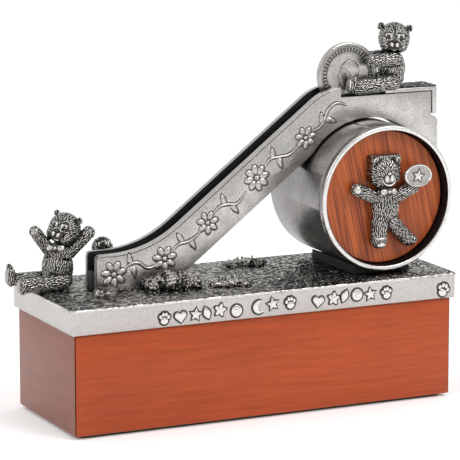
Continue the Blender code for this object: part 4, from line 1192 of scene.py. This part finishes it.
def motifOutlines(kind, size):
    if kind == "paw":
        toes = [(-1.25, 0.55), (-0.45, 1.25), (0.45, 1.25), (1.25, 0.55)]
        palm = ovalOutline(0, -0.65 * size / 2, 0.62 * size, 0.52 * size)
        return [palm] + [ovalOutline(x * size / 1.95, y * size / 1.95, 0.24 * size, 0.32 * size, 12)
                         for x, y in toes]
    return {"heart": [heartOutline(size)], "star": [starOutline(size * 1.05, size * 0.46)],
            "flower": [petalOutline(size, 5, 0.3)], "leaf": [leafOutline(size)], "moon": [moonOutline(size)],
            "coin": [ovalOutline(0, 0, size * 0.88, size * 0.88, 24)]}[kind]


frieze = {"size": 2.35, "cornerGrow": 1.15, "front": -27.95, "height": 0.5, "shadeGrow": 0.72,
          "shadeHeight": 0.08, "motifs": [
    ("paw", -41.4, 40.9, -4), ("heart", -35.2, 41.1, 6), ("star", -29.2, 41.3, -8), ("leaf", -24.9, 41.4, 20),
    ("flower", -19.7, 42.0, 5), ("coin", -13.2, 41.1, 0), ("moon", -4.4, 41.6, 8), ("star", 1.1, 42.2, 10),
    ("paw", 8.2, 41.9, 6), ("heart", 19.4, 41.5, -6), ("flower", 25.7, 41.9, 10), ("leaf", 30.2, 42.4, -24),
    ("coin", 35.3, 42.4, 0), ("star", 40.7, 42.1, 6), ("paw", 47.4, 41.9, 8), ("paw", 71.1, 40.8, -20)]}


def buildFrieze(grow, thick, edge, insets):
    bm = bmesh.new()
    for kind, x, z, lean in frieze["motifs"]:
        place = Matrix.Translation(at(x, frieze["front"] + 0.02, z)) @ facing((0, -1, 0)).to_4x4()
        place = place @ Matrix.Rotation(math.radians(lean), 4, "Z")
        size = frieze["size"] * (frieze["cornerGrow"] if x > 60 else 1)
        for outline in motifOutlines(kind, size):
            middle = Vector((sum(p[0] for p in outline), sum(p[1] for p in outline))) / len(outline)
            grown = []
            for p in outline:
                away = Vector(p) - middle
                grown.append(middle + away * (1 + grow / max(away.length, 0.3)))
            plate(bm, grown, place, thick, edge)
        if insets and kind in ("coin", "flower"):
            plate(bm, ovalOutline(0, 0, size * 0.42, size * 0.42), place, thick + 0.25, 0.12)
    return bm


motifs = buildFrieze(0.0, frieze["height"], 0.14, True)
# the dark ground round each motif is patina and painted shade at the foot of the relief
motifShade = buildFrieze(frieze["shadeGrow"], frieze["shadeHeight"], 0.03, False)
addPiece("frieze_motifs", motifs, brightPewter, "bank", "turf_pewter", [], 50)
addPiece("frieze_motif_shade", motifShade, hollowAndShadePewter, "bank", "turf_pewter", [], 50)
print("frieze done")

# floor, light and camera
stageStyle = {"floor": (0.95, 0.95, 0.95), "floorSize": 6.0, "floorDrop": 0.1, "glow": 0.12, "front": 0.5,
              "back": 1.1, "key": 8.0, "fill": 3.0, "lampAim": (0, 0, 0.06), "lens": 235.14,
              "camera": (-0.465476, -0.970197, 0.274012), "aim": (0.003245, 0.011837, 0.062004)}
bm = bmesh.new()
bmesh.ops.create_grid(bm, x_segments=1, y_segments=1, size=stageStyle["floorSize"],
                      matrix=Matrix.Translation((0, 0, -stageStyle["floorDrop"] * mm)))
floorMesh = meshOf(bm, "studio_floor")
floorPaint, floorTree, floorShader = startMaterial("floorPaint", Roughness=0.9, Specular_IOR_Level=0.0)
floorShader.inputs["Base Color"].default_value = (*stageStyle["floor"], 1)
floorShader.inputs["Emission Color"].default_value = (1, 1, 1, 1)
floorShader.inputs["Emission Strength"].default_value = stageStyle["glow"]
floorMesh.materials.append(floorPaint)
onStage("studio_floor", floorMesh)

world = bpy.data.worlds.new("studio")
bpy.context.scene.world = world
world.use_nodes = True
sky = world.node_tree  # a light tent, dimmer on the side that the bank faces
direction = addNode(sky, "ShaderNodeTexCoord").outputs["Generated"]
depth = addNode(sky, "ShaderNodeSeparateXYZ", Vector=direction).outputs["Y"]
tent = addNode(sky, "ShaderNodeMapRange", Value=depth, From_Min=-1.0, From_Max=0.6, To_Min=stageStyle["front"],
               To_Max=stageStyle["back"])
sky.links.new(tent.outputs["Result"], sky.nodes["Background"].inputs["Strength"])
sky.nodes["Background"].inputs["Color"].default_value = (1, 1, 1, 1)


def aimed(name, data, place, aim):
    made = onStage(name, data)
    made.location = place
    made.rotation_euler = (Vector(aim) - Vector(place)).to_track_quat("-Z", "Y").to_euler()
    return made


def softbox(name, place, size, power):
    lamp = bpy.data.lights.new(name, "AREA")
    lamp.shape = "SQUARE"
    lamp.size = size
    lamp.energy = power
    aimed(name, lamp, place, stageStyle["lampAim"])


softbox("keySoftbox", (0.5, -0.9, 0.9), 0.7, stageStyle["key"])
softbox("fillSoftbox", (-0.9, -0.4, 0.7), 0.6, stageStyle["fill"])

lens = bpy.data.cameras.new("mainCamera")
lens.lens = stageStyle["lens"]
lens.sensor_width = 36.0
lens.clip_end = 30.0
bpy.context.scene.camera = aimed("mainCamera", lens, stageStyle["camera"], stageStyle["aim"])
bpy.context.scene.view_settings.view_transform = "Standard"
print("stage done")
